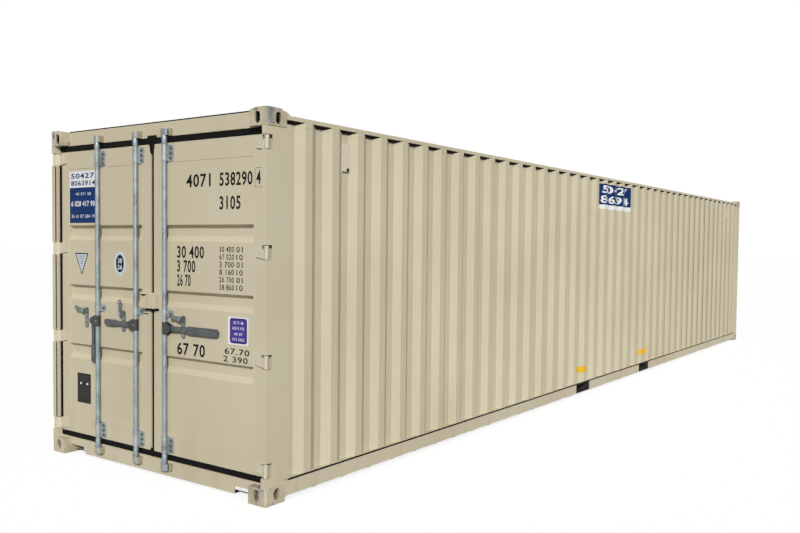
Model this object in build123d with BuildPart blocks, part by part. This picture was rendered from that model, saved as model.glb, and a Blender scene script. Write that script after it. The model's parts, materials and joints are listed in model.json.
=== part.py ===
from build123d import *
import math
import os

# Dry freight container, 40 ft long and of standard height, in millimetres.
# X runs across the container, Y along it with the doors at its low end, Z up.
# The origin is on the ground, under the middle of the container.
# Door hardware is set back from the door end, and SETBACK values count from there.

# Overall size
LENGTH = 12192.0
WIDTH = 2438.0
HEIGHT = 2591.0

# Corner castings
CASTING_WIDTH = 162.0
CASTING_LENGTH = 178.0
CASTING_HEIGHT = 118.0
CASTING_WALL = 28.0
CASTING_BACK = 14.0
CASTING_ROUND = 14.0
CASTING_SIDE_RUN = 60.0
CASTING_SIDE_DROP = 14.0
CASTING_BACK_RUN = 50.0
CASTING_BACK_DROP = 30.0
APERTURE_FROM_SIDE = 89.5
APERTURE_FROM_END = 103.5
PLAN_APERTURE_LENGTH = 124.0
PLAN_APERTURE_WIDTH = 63.5
FACE_APERTURE_HEIGHT = 79.5
FACE_APERTURE_WIDTH = 51.0
FACE_APERTURE_LIP = 13.0

# Frame that stands behind the casting faces
SIDE_INSET = 5.0
END_INSET = 2.0
FRAME_STEEL = 6.0
RAIL_STEEL = 4.5
SHEET = 2.0

# Corner posts
POST_LENGTH = 222.0
POST_WIDTH = 47.0
POST_BOX_LENGTH = 119.0
POST_CHANNEL = 12.0
FRONT_POST_WIDTH = 114.0
FRONT_POST_DEPTH = 60.0
FRONT_POST_TAPER = 72.0

# Rails
TOP_RAIL = 60.0
TOP_RAIL_DROP = 35.0
BOTTOM_RAIL_BOTTOM = 33.0
BOTTOM_RAIL_HEIGHT = 98.0
BOTTOM_RAIL_FLANGE = 30.0
SEAL_HEIGHT = 18.0
SEAL_INSET = 14.0

# Door header, door sill and the rails of the closed end
DOOR_BEAM_SETBACK = 60.0
HEADER_DROP = 14.0
HEADER_HEIGHT = 109.0
SILL_BOTTOM = 16.0
SILL_TOP = 150.0
SILL_STEEL = 6.0
SILL_DEPTH = 56.0
SILL_LEDGE = 54.0
SILL_NOTCH_LENGTH = 195.0
SILL_NOTCH_HEIGHT = 53.0
FRONT_BEAM_SETBACK = 20.0
FRONT_RAIL_BOTTOM = 17.0
FRONT_RAIL_DEPTH = 126.0

# Corrugated side walls
SIDE_PITCH = 278.0
SIDE_RIDGE = 72.0
SIDE_SLOPE = 68.0
SIDE_DEPTH = 36.0

# Corrugated wall of the closed end
FRONT_PITCH = 250.0
FRONT_RIDGE = 110.0
FRONT_SLOPE = 18.0
FRONT_DEPTH = 45.0

# Roof with pressed ribs
ROOF_PITCH = 209.0
ROOF_RIB_WIDTH = 100.0
ROOF_RIB_HEIGHT = 18.0
ROOF_RIB_INSET = 24.0
ROOF_DRAFT = 45.0
ROOF_INSET = 14.0

# Base
FLOOR_THICKNESS = 28.0
FLOOR_BOARD = 2400.0
FLOOR_SIDE_GAP = 8.0
FLOOR_GAP = 2.0
CENTRE_RAIL = 50.0
CENTRE_RAIL_STEEL = 4.0
CROSS_BOTTOM = 17.0
CROSS_FLANGE = 45.0
CROSS_PITCH = 305.0
POCKET_SPACING = 2050.0
POCKET_WIDTH = 360.0
POCKET_STEEL = 4.0
POCKET_STRAP = 300.0
TUNNEL_LENGTH = 3500.0
TUNNEL_WIDTH = 1029.0
TUNNEL_STEEL = 6.0

# Vents on the side walls
VENT_WIDTH = 70.0
VENT_HEIGHT = 193.0
VENT_DEPTH = 16.0
VENT_DROP = 65.0
VENT_BAYS = 2.0
VENT_MOUTH = 34.0

# Door leaves
LEAF_SETBACK = 50.0
LEAF_DEPTH = 50.0
LEAF_STEEL = 4.0
LEAF_SEAM_GAP = 18.0
LEAF_SIDE_GAP = 12.0
LEAF_SILL_GAP = 28.0
LEAF_HEADER_GAP = 43.0
SEAM_STILE = 100.0
HINGE_STILE = 110.0
LEAF_TOP_RAIL = 135.0
LEAF_BOTTOM_RAIL = 152.0
PANEL_INSET = 2.0
GROOVE_BELOW_HANDLE = 201.0
GROOVE_PITCH = 471.0
GROOVE_DEPTH = 36.0
GROOVE_UPPER_SLOPE = 22.0
GROOVE_FLAT = 60.0
GROOVE_LOWER_SLOPE = 36.0

# Door seals
SEAL_SETBACK = 62.0
SEAL_DEPTH = 36.0
SEAL_LIP = 9.0
SEAL_WAIST = 7.0
SEAL_CLEARANCE = 5.0
SEAM_CLEARANCE = 4.5

# Hinges
HINGE_TOP_MARGIN = 59.0
HINGE_BOTTOM_MARGIN = 56.0
HINGE_SPACING = 711.0
HINGE_HALF_HEIGHT = 44.0
HINGE_TIP_HALF_HEIGHT = 30.0
HINGE_PIN_FROM_SIDE = 20.0
HINGE_PIN_SETBACK = 19.0
HINGE_BARREL_RADIUS = 15.0
HINGE_PIN_RADIUS = 8.0
HINGE_PIN_CLEARANCE = 0.5
HINGE_BLADE = 10.0
HINGE_BLADE_REACH = 119.0
HINGE_LUG = 14.0
HINGE_CLEARANCE = 5.0
NOTCH_DEPTH = 56.0

# Lock bars, one on the right leaf and two on the left
BAR_PLACES = (-640.0, -167.0, 165.0)
BAR_SIDES = (-1, -1, 1)
BAR_SETBACK = 28.0
BAR_RADIUS = 17.0
BAR_INTO_SILL = 84.0
BAR_INTO_HEADER = 54.0
BAR_CLEARANCE = 0.5
BAR_WALL = 4.0
CAM_RADIUS = 20.0
CAM_HEIGHT = 46.0
CAM_REACH = 34.0
CAM_NOSE = 12.0

# Keepers that the cams turn in
KEEPER_CLEARANCE = 6.0
KEEPER_STEEL = 12.0
KEEPER_BASE = 6.0
KEEPER_NEAR_SETBACK = 10.0
KEEPER_FAR_SETBACK = 30.0
KEEPER_MARGIN = 2.0
KEEPER_CHAMFER = 5.0

# Brackets that hold the lock bars
BRACKET_RADIUS = 22.0
BRACKET_PLATE = 4.0
BRACKET_REACH = 75.0
BRACKET_BACK_REACH = 28.0
BRACKET_CORNER = 14.0
BRACKET_HEIGHT = 120.0
BRACKET_SADDLE = 112.0
BRACKET_TOP_MARGIN = 16.0
BRACKET_BOTTOM_MARGIN = 10.0
GUIDE_ABOVE_HANDLE = 76.0
GUIDE_HEIGHT = 53.0

# Handles
HANDLE_HEIGHT = 1098.0
HANDLE_PIVOT = 55.0
HANDLE_PIVOT_RADIUS = 6.0
HANDLE_THICKNESS = 12.0
HANDLE_ROOT = 38.0
HANDLE_NECK = 32.0
HANDLE_TIP_CORNER = 12.0
HUB_RADIUS = 19.0
HUB_HALF_HEIGHT = 43.0
HUB_EAR = 8.0
HUB_EAR_GAP = 4.0
HUB_EAR_RADIUS = 26.0
SHORT_HANDLE = (325.0, 125.0, 46.0)
LONG_HANDLE = (512.0, 312.0, 54.0)

# Handle catches
CATCH_PLACES = (-815.0, -342.0, 345.0)
CATCH_PLATE = 6.0
CATCH_HALF_WIDTH = 22.0
CATCH_BELOW_HANDLE = 42.0
CATCH_ABOVE_HANDLE = 74.0
CATCH_EYE = 9.0
CATCH_CORNER = 12.0
CATCH_BOSS = 28.0
ARM_THICKNESS = 6.0
ARM_CLEARANCE = 6.0
ARM_LENGTH = 88.0
ARM_NECK = 8.0
ARM_RING_RADIUS = 17.0
ARM_RING_HOLE = 8.0
ARM_TOOTH = 12.0
ARM_PIVOT_RADIUS = 7.0
ARM_ANGLES = (168.0, 90.0, 168.0)

# Lock box across the leaves
BOX_HALF_WIDTH = 80.0
BOX_ABOVE_HANDLE = 135.0
BOX_HEIGHT = 112.0
BOX_SETBACK = 1.0
BOX_WALL = 4.0
BOX_GAP = 3.0
BOX_ROUND = 10.0

# Places worked out from the sizes above
HALF_LENGTH = LENGTH / 2
HALF_WIDTH = WIDTH / 2
SIDE_X = HALF_WIDTH - SIDE_INSET
CASTING_X = HALF_WIDTH - CASTING_WIDTH
CASTING_Y = HALF_LENGTH - CASTING_LENGTH
POST_END_Y = HALF_LENGTH - POST_LENGTH
DOORWAY_X = HALF_WIDTH - POST_WIDTH
RECESS_X = SIDE_X - SIDE_DEPTH
BOTTOM_RAIL_TOP = BOTTOM_RAIL_BOTTOM + BOTTOM_RAIL_HEIGHT
WALL_BOTTOM = BOTTOM_RAIL_TOP + SEAL_HEIGHT
TOP_RAIL_TOP = HEIGHT - TOP_RAIL_DROP
TOP_RAIL_BOTTOM = TOP_RAIL_TOP - TOP_RAIL
TOP_CASTING_BOTTOM = HEIGHT - CASTING_HEIGHT
HEADER_TOP = HEIGHT - HEADER_DROP
HEADER_BOTTOM = HEADER_TOP - HEADER_HEIGHT
FLOOR_BOTTOM = BOTTOM_RAIL_TOP
FLOOR_TOP = FLOOR_BOTTOM + FLOOR_THICKNESS
FLOOR_X = RECESS_X - SHEET - FLOOR_SIDE_GAP
DOOR_BEAM_Y = -HALF_LENGTH + DOOR_BEAM_SETBACK
SILL_SHELF_Y = DOOR_BEAM_Y + SILL_DEPTH
FRONT_BEAM_Y = HALF_LENGTH - FRONT_BEAM_SETBACK
FRONT_RAIL_Y = FRONT_BEAM_Y - FRONT_RAIL_DEPTH
FRONT_POST_X = SIDE_X - FRONT_POST_WIDTH
TUNNEL_START = HALF_LENGTH - TUNNEL_LENGTH
SIDE_RIDGES = int(2 * POST_END_Y / SIDE_PITCH)
FRONT_RIDGES = int(2 * FRONT_POST_X / FRONT_PITCH)
ROOF_RIBS = int(2 * CASTING_Y / ROOF_PITCH)
LEAF_BOTTOM = SILL_TOP + LEAF_SILL_GAP
LEAF_TOP = HEADER_BOTTOM - LEAF_HEADER_GAP
LEAF_EDGE = DOORWAY_X - LEAF_SIDE_GAP
PANEL_LEFT = LEAF_SEAM_GAP + SEAM_STILE
PANEL_RIGHT = LEAF_EDGE - HINGE_STILE
PANEL_BOTTOM = LEAF_BOTTOM + LEAF_BOTTOM_RAIL
PANEL_TOP = LEAF_TOP - LEAF_TOP_RAIL
PANEL_SETBACK = LEAF_SETBACK + PANEL_INSET
HINGE_X = HALF_WIDTH - HINGE_PIN_FROM_SIDE
HINGE_Y = -HALF_LENGTH + HINGE_PIN_SETBACK
NOTCH_HALF_HEIGHT = HINGE_HALF_HEIGHT + HINGE_CLEARANCE
BAR_Y = -HALF_LENGTH + BAR_SETBACK
BAR_BOTTOM = SILL_TOP - BAR_INTO_SILL
BAR_TOP = HEADER_BOTTOM + BAR_INTO_HEADER
CATCH_BOTTOM = HANDLE_HEIGHT - CATCH_BELOW_HANDLE
CATCH_TOP = HANDLE_HEIGHT + CATCH_ABOVE_HANDLE
ARM_SETBACK = BAR_SETBACK - HANDLE_THICKNESS / 2 - ARM_CLEARANCE - ARM_THICKNESS
BOX_BOTTOM = HANDLE_HEIGHT + BOX_ABOVE_HANDLE
BOX_TOP = BOX_BOTTOM + BOX_HEIGHT
CUT_MARGIN = 20.0


def keep(builder, label):
    builder.part.label = label
    export_step(builder.part, f"parts/{label}.step")


def door_plane(setback):
    # Sketches here are seen from outside the doors, and a negative extrude goes inwards
    return Plane.XZ.offset(HALF_LENGTH - setback)


def across(x):
    # Sketch coordinates are along and up, and an extrude goes towards the right side
    return Plane.YZ.offset(x)


def rectangle_between(low, high, mode=Mode.ADD):
    with Locations(((low[0] + high[0]) / 2, (low[1] + high[1]) / 2)):
        Rectangle(high[0] - low[0], high[1] - low[1], mode=mode)


def block_between(low, high, mode=Mode.ADD):
    centre = [(low[i] + high[i]) / 2 for i in range(3)]
    with Locations(tuple(centre)):
        Box(high[0] - low[0], high[1] - low[1], high[2] - low[2], mode=mode)


def mirrored(builder, plane):
    with BuildPart() as other:
        mirror(builder.part, about=plane)
    return other


def pair(builder, label):
    # The piece and its mirror image across the container, kept as one node
    with BuildPart() as both:
        add(builder.part)
        mirror(builder.part, about=Plane.YZ)
    keep(both, label)


def right_door_casting(sloped):
    # The box stands at the top corner, and its upper face may slope down to the header and the rail
    with BuildPart() as casting:
        block_between((CASTING_X, -HALF_LENGTH, TOP_CASTING_BOTTOM), (HALF_WIDTH, -CASTING_Y, HEIGHT))
        if sloped:
            with BuildSketch(Plane.XZ.offset(CASTING_Y)):
                with BuildLine():
                    Polyline(
                        (CASTING_X, HEIGHT - CASTING_SIDE_DROP),
                        (CASTING_X + CASTING_SIDE_RUN, HEIGHT),
                        (CASTING_X, HEIGHT),
                        close=True,
                    )
                make_face()
            extrude(amount=CASTING_LENGTH, mode=Mode.SUBTRACT)
            with BuildSketch(across(CASTING_X)):
                with BuildLine():
                    Polyline(
                        (-CASTING_Y, HEIGHT - CASTING_BACK_DROP),
                        (-CASTING_Y - CASTING_BACK_RUN, HEIGHT),
                        (-CASTING_Y, HEIGHT),
                        close=True,
                    )
                make_face()
            extrude(amount=CASTING_WIDTH, mode=Mode.SUBTRACT)
        outer = casting.edges().filter_by(Axis.Z).group_by(Axis.Y)[0].sort_by(Axis.X)[-1]
        fillet(outer, CASTING_ROUND)
        block_between(
            (CASTING_X + CASTING_BACK, -HALF_LENGTH + CASTING_WALL, TOP_CASTING_BOTTOM + CASTING_BACK),
            (HALF_WIDTH - CASTING_WALL, -CASTING_Y - CASTING_BACK, HEIGHT - CASTING_WALL),
            mode=Mode.SUBTRACT,
        )
        aperture_x = HALF_WIDTH - APERTURE_FROM_SIDE
        aperture_y = -HALF_LENGTH + APERTURE_FROM_END
        aperture_z = TOP_CASTING_BOTTOM + FACE_APERTURE_LIP + FACE_APERTURE_HEIGHT / 2
        with BuildSketch(Plane.XY.offset(HEIGHT)):
            with Locations((aperture_x, aperture_y)):
                SlotOverall(PLAN_APERTURE_LENGTH, PLAN_APERTURE_WIDTH, rotation=90)
        extrude(amount=-CASTING_WALL, mode=Mode.SUBTRACT)
        with BuildSketch(door_plane(0)):
            with Locations((aperture_x, aperture_z)):
                SlotOverall(FACE_APERTURE_HEIGHT, FACE_APERTURE_WIDTH, rotation=90)
        extrude(amount=-CASTING_WALL, mode=Mode.SUBTRACT)
        with BuildSketch(across(HALF_WIDTH)):
            with Locations((aperture_y, aperture_z)):
                SlotOverall(FACE_APERTURE_HEIGHT, FACE_APERTURE_WIDTH, rotation=90)
        extrude(amount=-CASTING_WALL, mode=Mode.SUBTRACT)
    return casting


def four_castings(casting):
    with BuildPart() as castings:
        add(casting.part)
        mirror(about=Plane.YZ)
        mirror(about=Plane.XZ)
    return castings


def corner_castings():
    keep(four_castings(right_door_casting(sloped=True)), "castings_top")
    flat = four_castings(right_door_casting(sloped=False))
    keep(mirrored(flat, Plane.XY.offset(HEIGHT / 2)), "castings_bottom")


def post_ends():
    # The post seats between the castings, and its rear edge between the rails
    block_between(
        (0, -HALF_LENGTH, TOP_CASTING_BOTTOM),
        (HALF_WIDTH, -CASTING_Y, HEIGHT),
        mode=Mode.SUBTRACT,
    )
    block_between(
        (0, -CASTING_Y, 0),
        (HALF_WIDTH, 0, WALL_BOTTOM),
        mode=Mode.SUBTRACT,
    )


def hinge_heights():
    low = LEAF_BOTTOM + HINGE_BOTTOM_MARGIN
    high = LEAF_TOP - HINGE_TOP_MARGIN
    spaces = round((high - low) / HINGE_SPACING)
    return [low + index * (high - low) / spaces for index in range(spaces + 1)]


def door_post():
    # Each hinge has a notch with a lug above and below it, and a pin welded into both lugs
    front = -HALF_LENGTH + END_INSET
    box_end = front + POST_BOX_LENGTH
    inner_x = SIDE_X - FRAME_STEEL
    with BuildPart() as post:
        with BuildSketch(Plane.XY.offset(CASTING_HEIGHT)):
            rectangle_between((DOORWAY_X, front), (SIDE_X, box_end))
            rectangle_between((inner_x, box_end), (SIDE_X, -POST_END_Y))
            rectangle_between((DOORWAY_X, -POST_END_Y - FRAME_STEEL), (SIDE_X, -POST_END_Y))
            rectangle_between(
                (DOORWAY_X + POST_CHANNEL, front + FRAME_STEEL),
                (inner_x, box_end - POST_CHANNEL),
                mode=Mode.SUBTRACT,
            )
        extrude(amount=TOP_RAIL_BOTTOM - CASTING_HEIGHT)
        post_ends()
        for height in hinge_heights():
            block_between(
                (DOORWAY_X + POST_CHANNEL, front + FRAME_STEEL, height - NOTCH_HALF_HEIGHT - HINGE_LUG),
                (inner_x, front + NOTCH_DEPTH, height + NOTCH_HALF_HEIGHT + HINGE_LUG),
            )
            block_between(
                (0, -HALF_LENGTH, height - NOTCH_HALF_HEIGHT),
                (HALF_WIDTH, front + NOTCH_DEPTH, height + NOTCH_HALF_HEIGHT),
                mode=Mode.SUBTRACT,
            )
            with Locations((HINGE_X, HINGE_Y, height)):
                Cylinder(HINGE_PIN_RADIUS, 2 * NOTCH_HALF_HEIGHT + HINGE_LUG)
    keep(post, "door_post_right")
    keep(mirrored(post, Plane.YZ), "door_post_left")


def front_post():
    front = HALF_LENGTH - END_INSET
    outline = (
        (SIDE_X, front),
        (FRONT_POST_X, front),
        (FRONT_POST_X, front - FRONT_POST_DEPTH),
        (RECESS_X - FRAME_STEEL, front - FRONT_POST_DEPTH - FRONT_POST_TAPER),
        (RECESS_X - FRAME_STEEL, POST_END_Y),
        (SIDE_X, POST_END_Y),
    )
    with BuildPart() as post:
        with BuildSketch(Plane.XY.offset(CASTING_HEIGHT)):
            with BuildLine():
                Polyline(*outline, close=True)
            make_face()
            offset(amount=-FRAME_STEEL, kind=Kind.INTERSECTION, mode=Mode.SUBTRACT)
        extrude(amount=TOP_RAIL_BOTTOM - CASTING_HEIGHT)
        block_between(
            (0, CASTING_Y, TOP_CASTING_BOTTOM),
            (HALF_WIDTH, HALF_LENGTH, HEIGHT),
            mode=Mode.SUBTRACT,
        )
        block_between(
            (0, 0, 0),
            (HALF_WIDTH, CASTING_Y, WALL_BOTTOM),
            mode=Mode.SUBTRACT,
        )
    pair(post, "front_posts")


def door_header():
    with BuildPart() as header:
        with BuildSketch(across(-CASTING_X)):
            rectangle_between((DOOR_BEAM_Y, HEADER_BOTTOM), (-CASTING_Y, HEADER_TOP))
            rectangle_between(
                (DOOR_BEAM_Y + RAIL_STEEL, HEADER_BOTTOM + RAIL_STEEL),
                (-CASTING_Y - RAIL_STEEL, HEADER_TOP - RAIL_STEEL),
                mode=Mode.SUBTRACT,
            )
        extrude(amount=2 * CASTING_X)
        for side in (-1, 1):
            ends = sorted((side * CASTING_X, side * DOORWAY_X))
            block_between(
                (ends[0], DOOR_BEAM_Y, HEADER_BOTTOM),
                (ends[1], -CASTING_Y, TOP_CASTING_BOTTOM),
            )
    keep(header, "door_header")


def door_sill():
    # An upright face, a shelf behind it that carries the floor's edge, and a flange along its foot
    with BuildPart() as sill:
        with BuildSketch(across(-CASTING_X)):
            rectangle_between((DOOR_BEAM_Y, SILL_BOTTOM), (DOOR_BEAM_Y + SILL_STEEL, SILL_TOP))
            rectangle_between((DOOR_BEAM_Y, SILL_TOP - SILL_STEEL), (SILL_SHELF_Y, SILL_TOP))
            rectangle_between((SILL_SHELF_Y - SILL_STEEL, FLOOR_BOTTOM - SILL_STEEL), (SILL_SHELF_Y, FLOOR_TOP))
            rectangle_between(
                (SILL_SHELF_Y - SILL_STEEL, FLOOR_BOTTOM - SILL_STEEL),
                (SILL_SHELF_Y + SILL_LEDGE, FLOOR_BOTTOM),
            )
            rectangle_between(
                (DOOR_BEAM_Y, SILL_BOTTOM),
                (DOOR_BEAM_Y + SILL_LEDGE, SILL_BOTTOM + SILL_STEEL),
            )
        extrude(amount=2 * CASTING_X)
        for side in (-1, 1):
            edges = sorted((side * CASTING_X, side * (CASTING_X - SILL_NOTCH_LENGTH)))
            block_between(
                (edges[0], DOOR_BEAM_Y - CUT_MARGIN, 0),
                (edges[1], SILL_SHELF_Y - SILL_STEEL, SILL_BOTTOM + SILL_NOTCH_HEIGHT),
                mode=Mode.SUBTRACT,
            )
            ends = sorted((side * CASTING_X, side * DOORWAY_X))
            block_between(
                (ends[0], DOOR_BEAM_Y, CASTING_HEIGHT),
                (ends[1], SILL_SHELF_Y, SILL_TOP),
            )
    keep(sill, "door_sill")


def front_rails():
    with BuildPart() as top_rail:
        with BuildSketch(across(-CASTING_X)):
            rectangle_between((CASTING_Y, HEADER_BOTTOM), (FRONT_BEAM_Y, HEADER_TOP))
            rectangle_between(
                (CASTING_Y + RAIL_STEEL, HEADER_BOTTOM + RAIL_STEEL),
                (FRONT_BEAM_Y - RAIL_STEEL, HEADER_TOP - RAIL_STEEL),
                mode=Mode.SUBTRACT,
            )
        extrude(amount=2 * CASTING_X)
        for side in (-1, 1):
            ends = sorted((side * CASTING_X, side * FRONT_POST_X))
            block_between(
                (ends[0], FRONT_BEAM_Y - FRONT_DEPTH, HEADER_BOTTOM),
                (ends[1], FRONT_BEAM_Y, TOP_CASTING_BOTTOM),
            )
    keep(top_rail, "front_top_rail")
    with BuildPart() as bottom_rail:
        with BuildSketch(across(-CASTING_X)):
            rectangle_between((FRONT_RAIL_Y, FRONT_RAIL_BOTTOM), (FRONT_BEAM_Y, WALL_BOTTOM))
            rectangle_between(
                (FRONT_RAIL_Y + RAIL_STEEL, FRONT_RAIL_BOTTOM + RAIL_STEEL),
                (FRONT_BEAM_Y - RAIL_STEEL, WALL_BOTTOM - RAIL_STEEL),
                mode=Mode.SUBTRACT,
            )
        extrude(amount=2 * CASTING_X)
        for side in (-1, 1):
            ends = sorted((side * CASTING_X, side * FRONT_POST_X))
            block_between(
                (ends[0], FRONT_BEAM_Y - FRONT_DEPTH, CASTING_HEIGHT),
                (ends[1], FRONT_BEAM_Y, WALL_BOTTOM),
            )
        block_between(
            (-TUNNEL_WIDTH / 2 - TUNNEL_STEEL, 0, 0),
            (TUNNEL_WIDTH / 2 + TUNNEL_STEEL, HALF_LENGTH, FLOOR_BOTTOM),
            mode=Mode.SUBTRACT,
        )
    keep(bottom_rail, "front_bottom_rail")


def side_rails():
    with BuildPart() as top_rail:
        with BuildSketch(Plane.XZ.offset(-CASTING_Y)):
            rectangle_between((SIDE_X - TOP_RAIL, TOP_RAIL_BOTTOM), (SIDE_X, TOP_RAIL_TOP))
            rectangle_between(
                (SIDE_X - TOP_RAIL + RAIL_STEEL, TOP_RAIL_BOTTOM + RAIL_STEEL),
                (SIDE_X - RAIL_STEEL, TOP_RAIL_TOP - RAIL_STEEL),
                mode=Mode.SUBTRACT,
            )
        extrude(amount=2 * CASTING_Y)
    pair(top_rail, "top_side_rails")
    flange_x = SIDE_X - BOTTOM_RAIL_FLANGE
    seal_x = SIDE_X - SEAL_INSET
    with BuildPart() as bottom_rail:
        with BuildSketch(Plane.XZ.offset(-CASTING_Y)):
            rectangle_between((SIDE_X - RAIL_STEEL, BOTTOM_RAIL_BOTTOM), (SIDE_X, BOTTOM_RAIL_TOP))
            rectangle_between((flange_x, BOTTOM_RAIL_TOP - RAIL_STEEL), (SIDE_X, BOTTOM_RAIL_TOP))
            rectangle_between((flange_x, BOTTOM_RAIL_BOTTOM), (SIDE_X, BOTTOM_RAIL_BOTTOM + RAIL_STEEL))
            rectangle_between((seal_x - RAIL_STEEL, BOTTOM_RAIL_TOP - RAIL_STEEL), (seal_x, WALL_BOTTOM))
            rectangle_between(
                (RECESS_X - FRAME_STEEL, WALL_BOTTOM - RAIL_STEEL),
                (SIDE_X - SHEET, WALL_BOTTOM),
            )
        extrude(amount=2 * CASTING_Y)
        for side in (-1, 1):
            pocket_y = side * POCKET_SPACING / 2
            half = POCKET_WIDTH / 2 + POCKET_STEEL
            block_between(
                (0, pocket_y - half, 0),
                (HALF_WIDTH, pocket_y + half, BOTTOM_RAIL_TOP),
                mode=Mode.SUBTRACT,
            )
    pair(bottom_rail, "bottom_side_rails")


def corrugation(start, end, count, pitch, ridge, slope, outer, inner):
    # One face of a corrugated sheet, as points along the wall and out from it
    points = [(start, inner)]
    for index in range(count):
        centre = (start + end) / 2 + (index - (count - 1) / 2) * pitch
        points.append((centre - ridge / 2 - slope, inner))
        points.append((centre - ridge / 2, outer))
        points.append((centre + ridge / 2, outer))
        points.append((centre + ridge / 2 + slope, inner))
    points.append((end, inner))
    return points


def side_walls():
    outside = corrugation(
        -POST_END_Y, POST_END_Y, SIDE_RIDGES, SIDE_PITCH, SIDE_RIDGE, SIDE_SLOPE, SIDE_X, RECESS_X
    )
    face = [(x, y) for y, x in outside]
    back = [(x - SHEET, y) for x, y in reversed(face)]
    with BuildPart() as wall:
        with BuildSketch(Plane.XY.offset(WALL_BOTTOM)):
            with BuildLine():
                Polyline(*face, *back, close=True)
            make_face()
        extrude(amount=TOP_RAIL_BOTTOM - WALL_BOTTOM)
    keep(wall, "side_wall_right")
    keep(mirrored(wall, Plane.YZ), "side_wall_left")


def front_wall():
    outside = corrugation(
        -FRONT_POST_X,
        FRONT_POST_X,
        FRONT_RIDGES,
        FRONT_PITCH,
        FRONT_RIDGE,
        FRONT_SLOPE,
        FRONT_BEAM_Y,
        FRONT_BEAM_Y - FRONT_DEPTH,
    )
    back = [(x, y - SHEET) for x, y in reversed(outside)]
    with BuildPart() as wall:
        with BuildSketch(Plane.XY.offset(WALL_BOTTOM)):
            with BuildLine():
                Polyline(*outside, *back, close=True)
            make_face()
        extrude(amount=HEADER_BOTTOM - WALL_BOTTOM)
    keep(wall, "front_wall")


def roof():
    edge = SIDE_X - ROOF_INSET
    rib_length = 2 * (SIDE_X - TOP_RAIL - ROOF_RIB_INSET)
    with BuildPart() as sheet:
        block_between((-edge, -CASTING_Y, TOP_RAIL_TOP), (edge, CASTING_Y, TOP_RAIL_TOP + SHEET))
        with BuildSketch(Plane.XY.offset(TOP_RAIL_TOP + SHEET)):
            with GridLocations(0, ROOF_PITCH, 1, ROOF_RIBS):
                Rectangle(rib_length, ROOF_RIB_WIDTH)
        extrude(amount=ROOF_RIB_HEIGHT, taper=ROOF_DRAFT)
        with BuildSketch(Plane.XY.offset(TOP_RAIL_TOP)):
            with GridLocations(0, ROOF_PITCH, 1, ROOF_RIBS):
                Rectangle(rib_length, ROOF_RIB_WIDTH)
        extrude(amount=ROOF_RIB_HEIGHT, taper=ROOF_DRAFT, mode=Mode.SUBTRACT)
    keep(sheet, "roof")


def cross_member_places():
    # Clear of the fork pockets, from behind the door sill to the rail of the closed end
    clear = POCKET_WIDTH / 2 + POCKET_STEEL + CROSS_FLANGE
    first = -CASTING_Y
    count = int((FRONT_RAIL_Y - CROSS_FLANGE - first) / CROSS_PITCH)
    places = []
    for index in range(count + 1):
        place = first + index * CROSS_PITCH
        if abs(abs(place) - POCKET_SPACING / 2) > clear:
            places.append(place)
    return places


def cross_members():
    reach = SIDE_X - BOTTOM_RAIL_FLANGE
    tunnel_side = TUNNEL_WIDTH / 2 + TUNNEL_STEEL
    with BuildPart() as members:
        with BuildSketch(across(-reach)):
            for place in cross_member_places():
                end = place + CROSS_FLANGE
                rectangle_between((place, CROSS_BOTTOM), (place + RAIL_STEEL, FLOOR_BOTTOM))
                rectangle_between((place, CROSS_BOTTOM), (end, CROSS_BOTTOM + RAIL_STEEL))
                rectangle_between((place, FLOOR_BOTTOM - RAIL_STEEL), (end, FLOOR_BOTTOM))
        extrude(amount=2 * reach)
        block_between(
            (-tunnel_side, TUNNEL_START, 0),
            (tunnel_side, HALF_LENGTH, FLOOR_BOTTOM),
            mode=Mode.SUBTRACT,
        )
    keep(members, "cross_members")


def fork_pockets():
    strap = HALF_WIDTH - POCKET_STRAP
    with BuildPart() as pockets:
        for side in (-1, 1):
            low = side * POCKET_SPACING / 2 - POCKET_WIDTH / 2
            high = low + POCKET_WIDTH
            block_between(
                (-SIDE_X, low - POCKET_STEEL, BOTTOM_RAIL_BOTTOM),
                (SIDE_X, high + POCKET_STEEL, BOTTOM_RAIL_TOP),
            )
            block_between(
                (-HALF_WIDTH, low, BOTTOM_RAIL_BOTTOM + POCKET_STEEL),
                (HALF_WIDTH, high, BOTTOM_RAIL_TOP - POCKET_STEEL),
                mode=Mode.SUBTRACT,
            )
            block_between(
                (-strap, low, 0),
                (strap, high, BOTTOM_RAIL_TOP - POCKET_STEEL),
                mode=Mode.SUBTRACT,
            )
    keep(pockets, "fork_pockets")


def gooseneck_tunnel():
    half = TUNNEL_WIDTH / 2
    with BuildPart() as tunnel:
        with BuildSketch(Plane.XZ.offset(-FRONT_BEAM_Y)):
            rectangle_between((-half - TUNNEL_STEEL, CROSS_BOTTOM), (half + TUNNEL_STEEL, FLOOR_BOTTOM))
            rectangle_between((-half, CROSS_BOTTOM), (half, FLOOR_BOTTOM - TUNNEL_STEEL), mode=Mode.SUBTRACT)
        extrude(amount=FRONT_BEAM_Y - TUNNEL_START)
    keep(tunnel, "gooseneck_tunnel")


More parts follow.
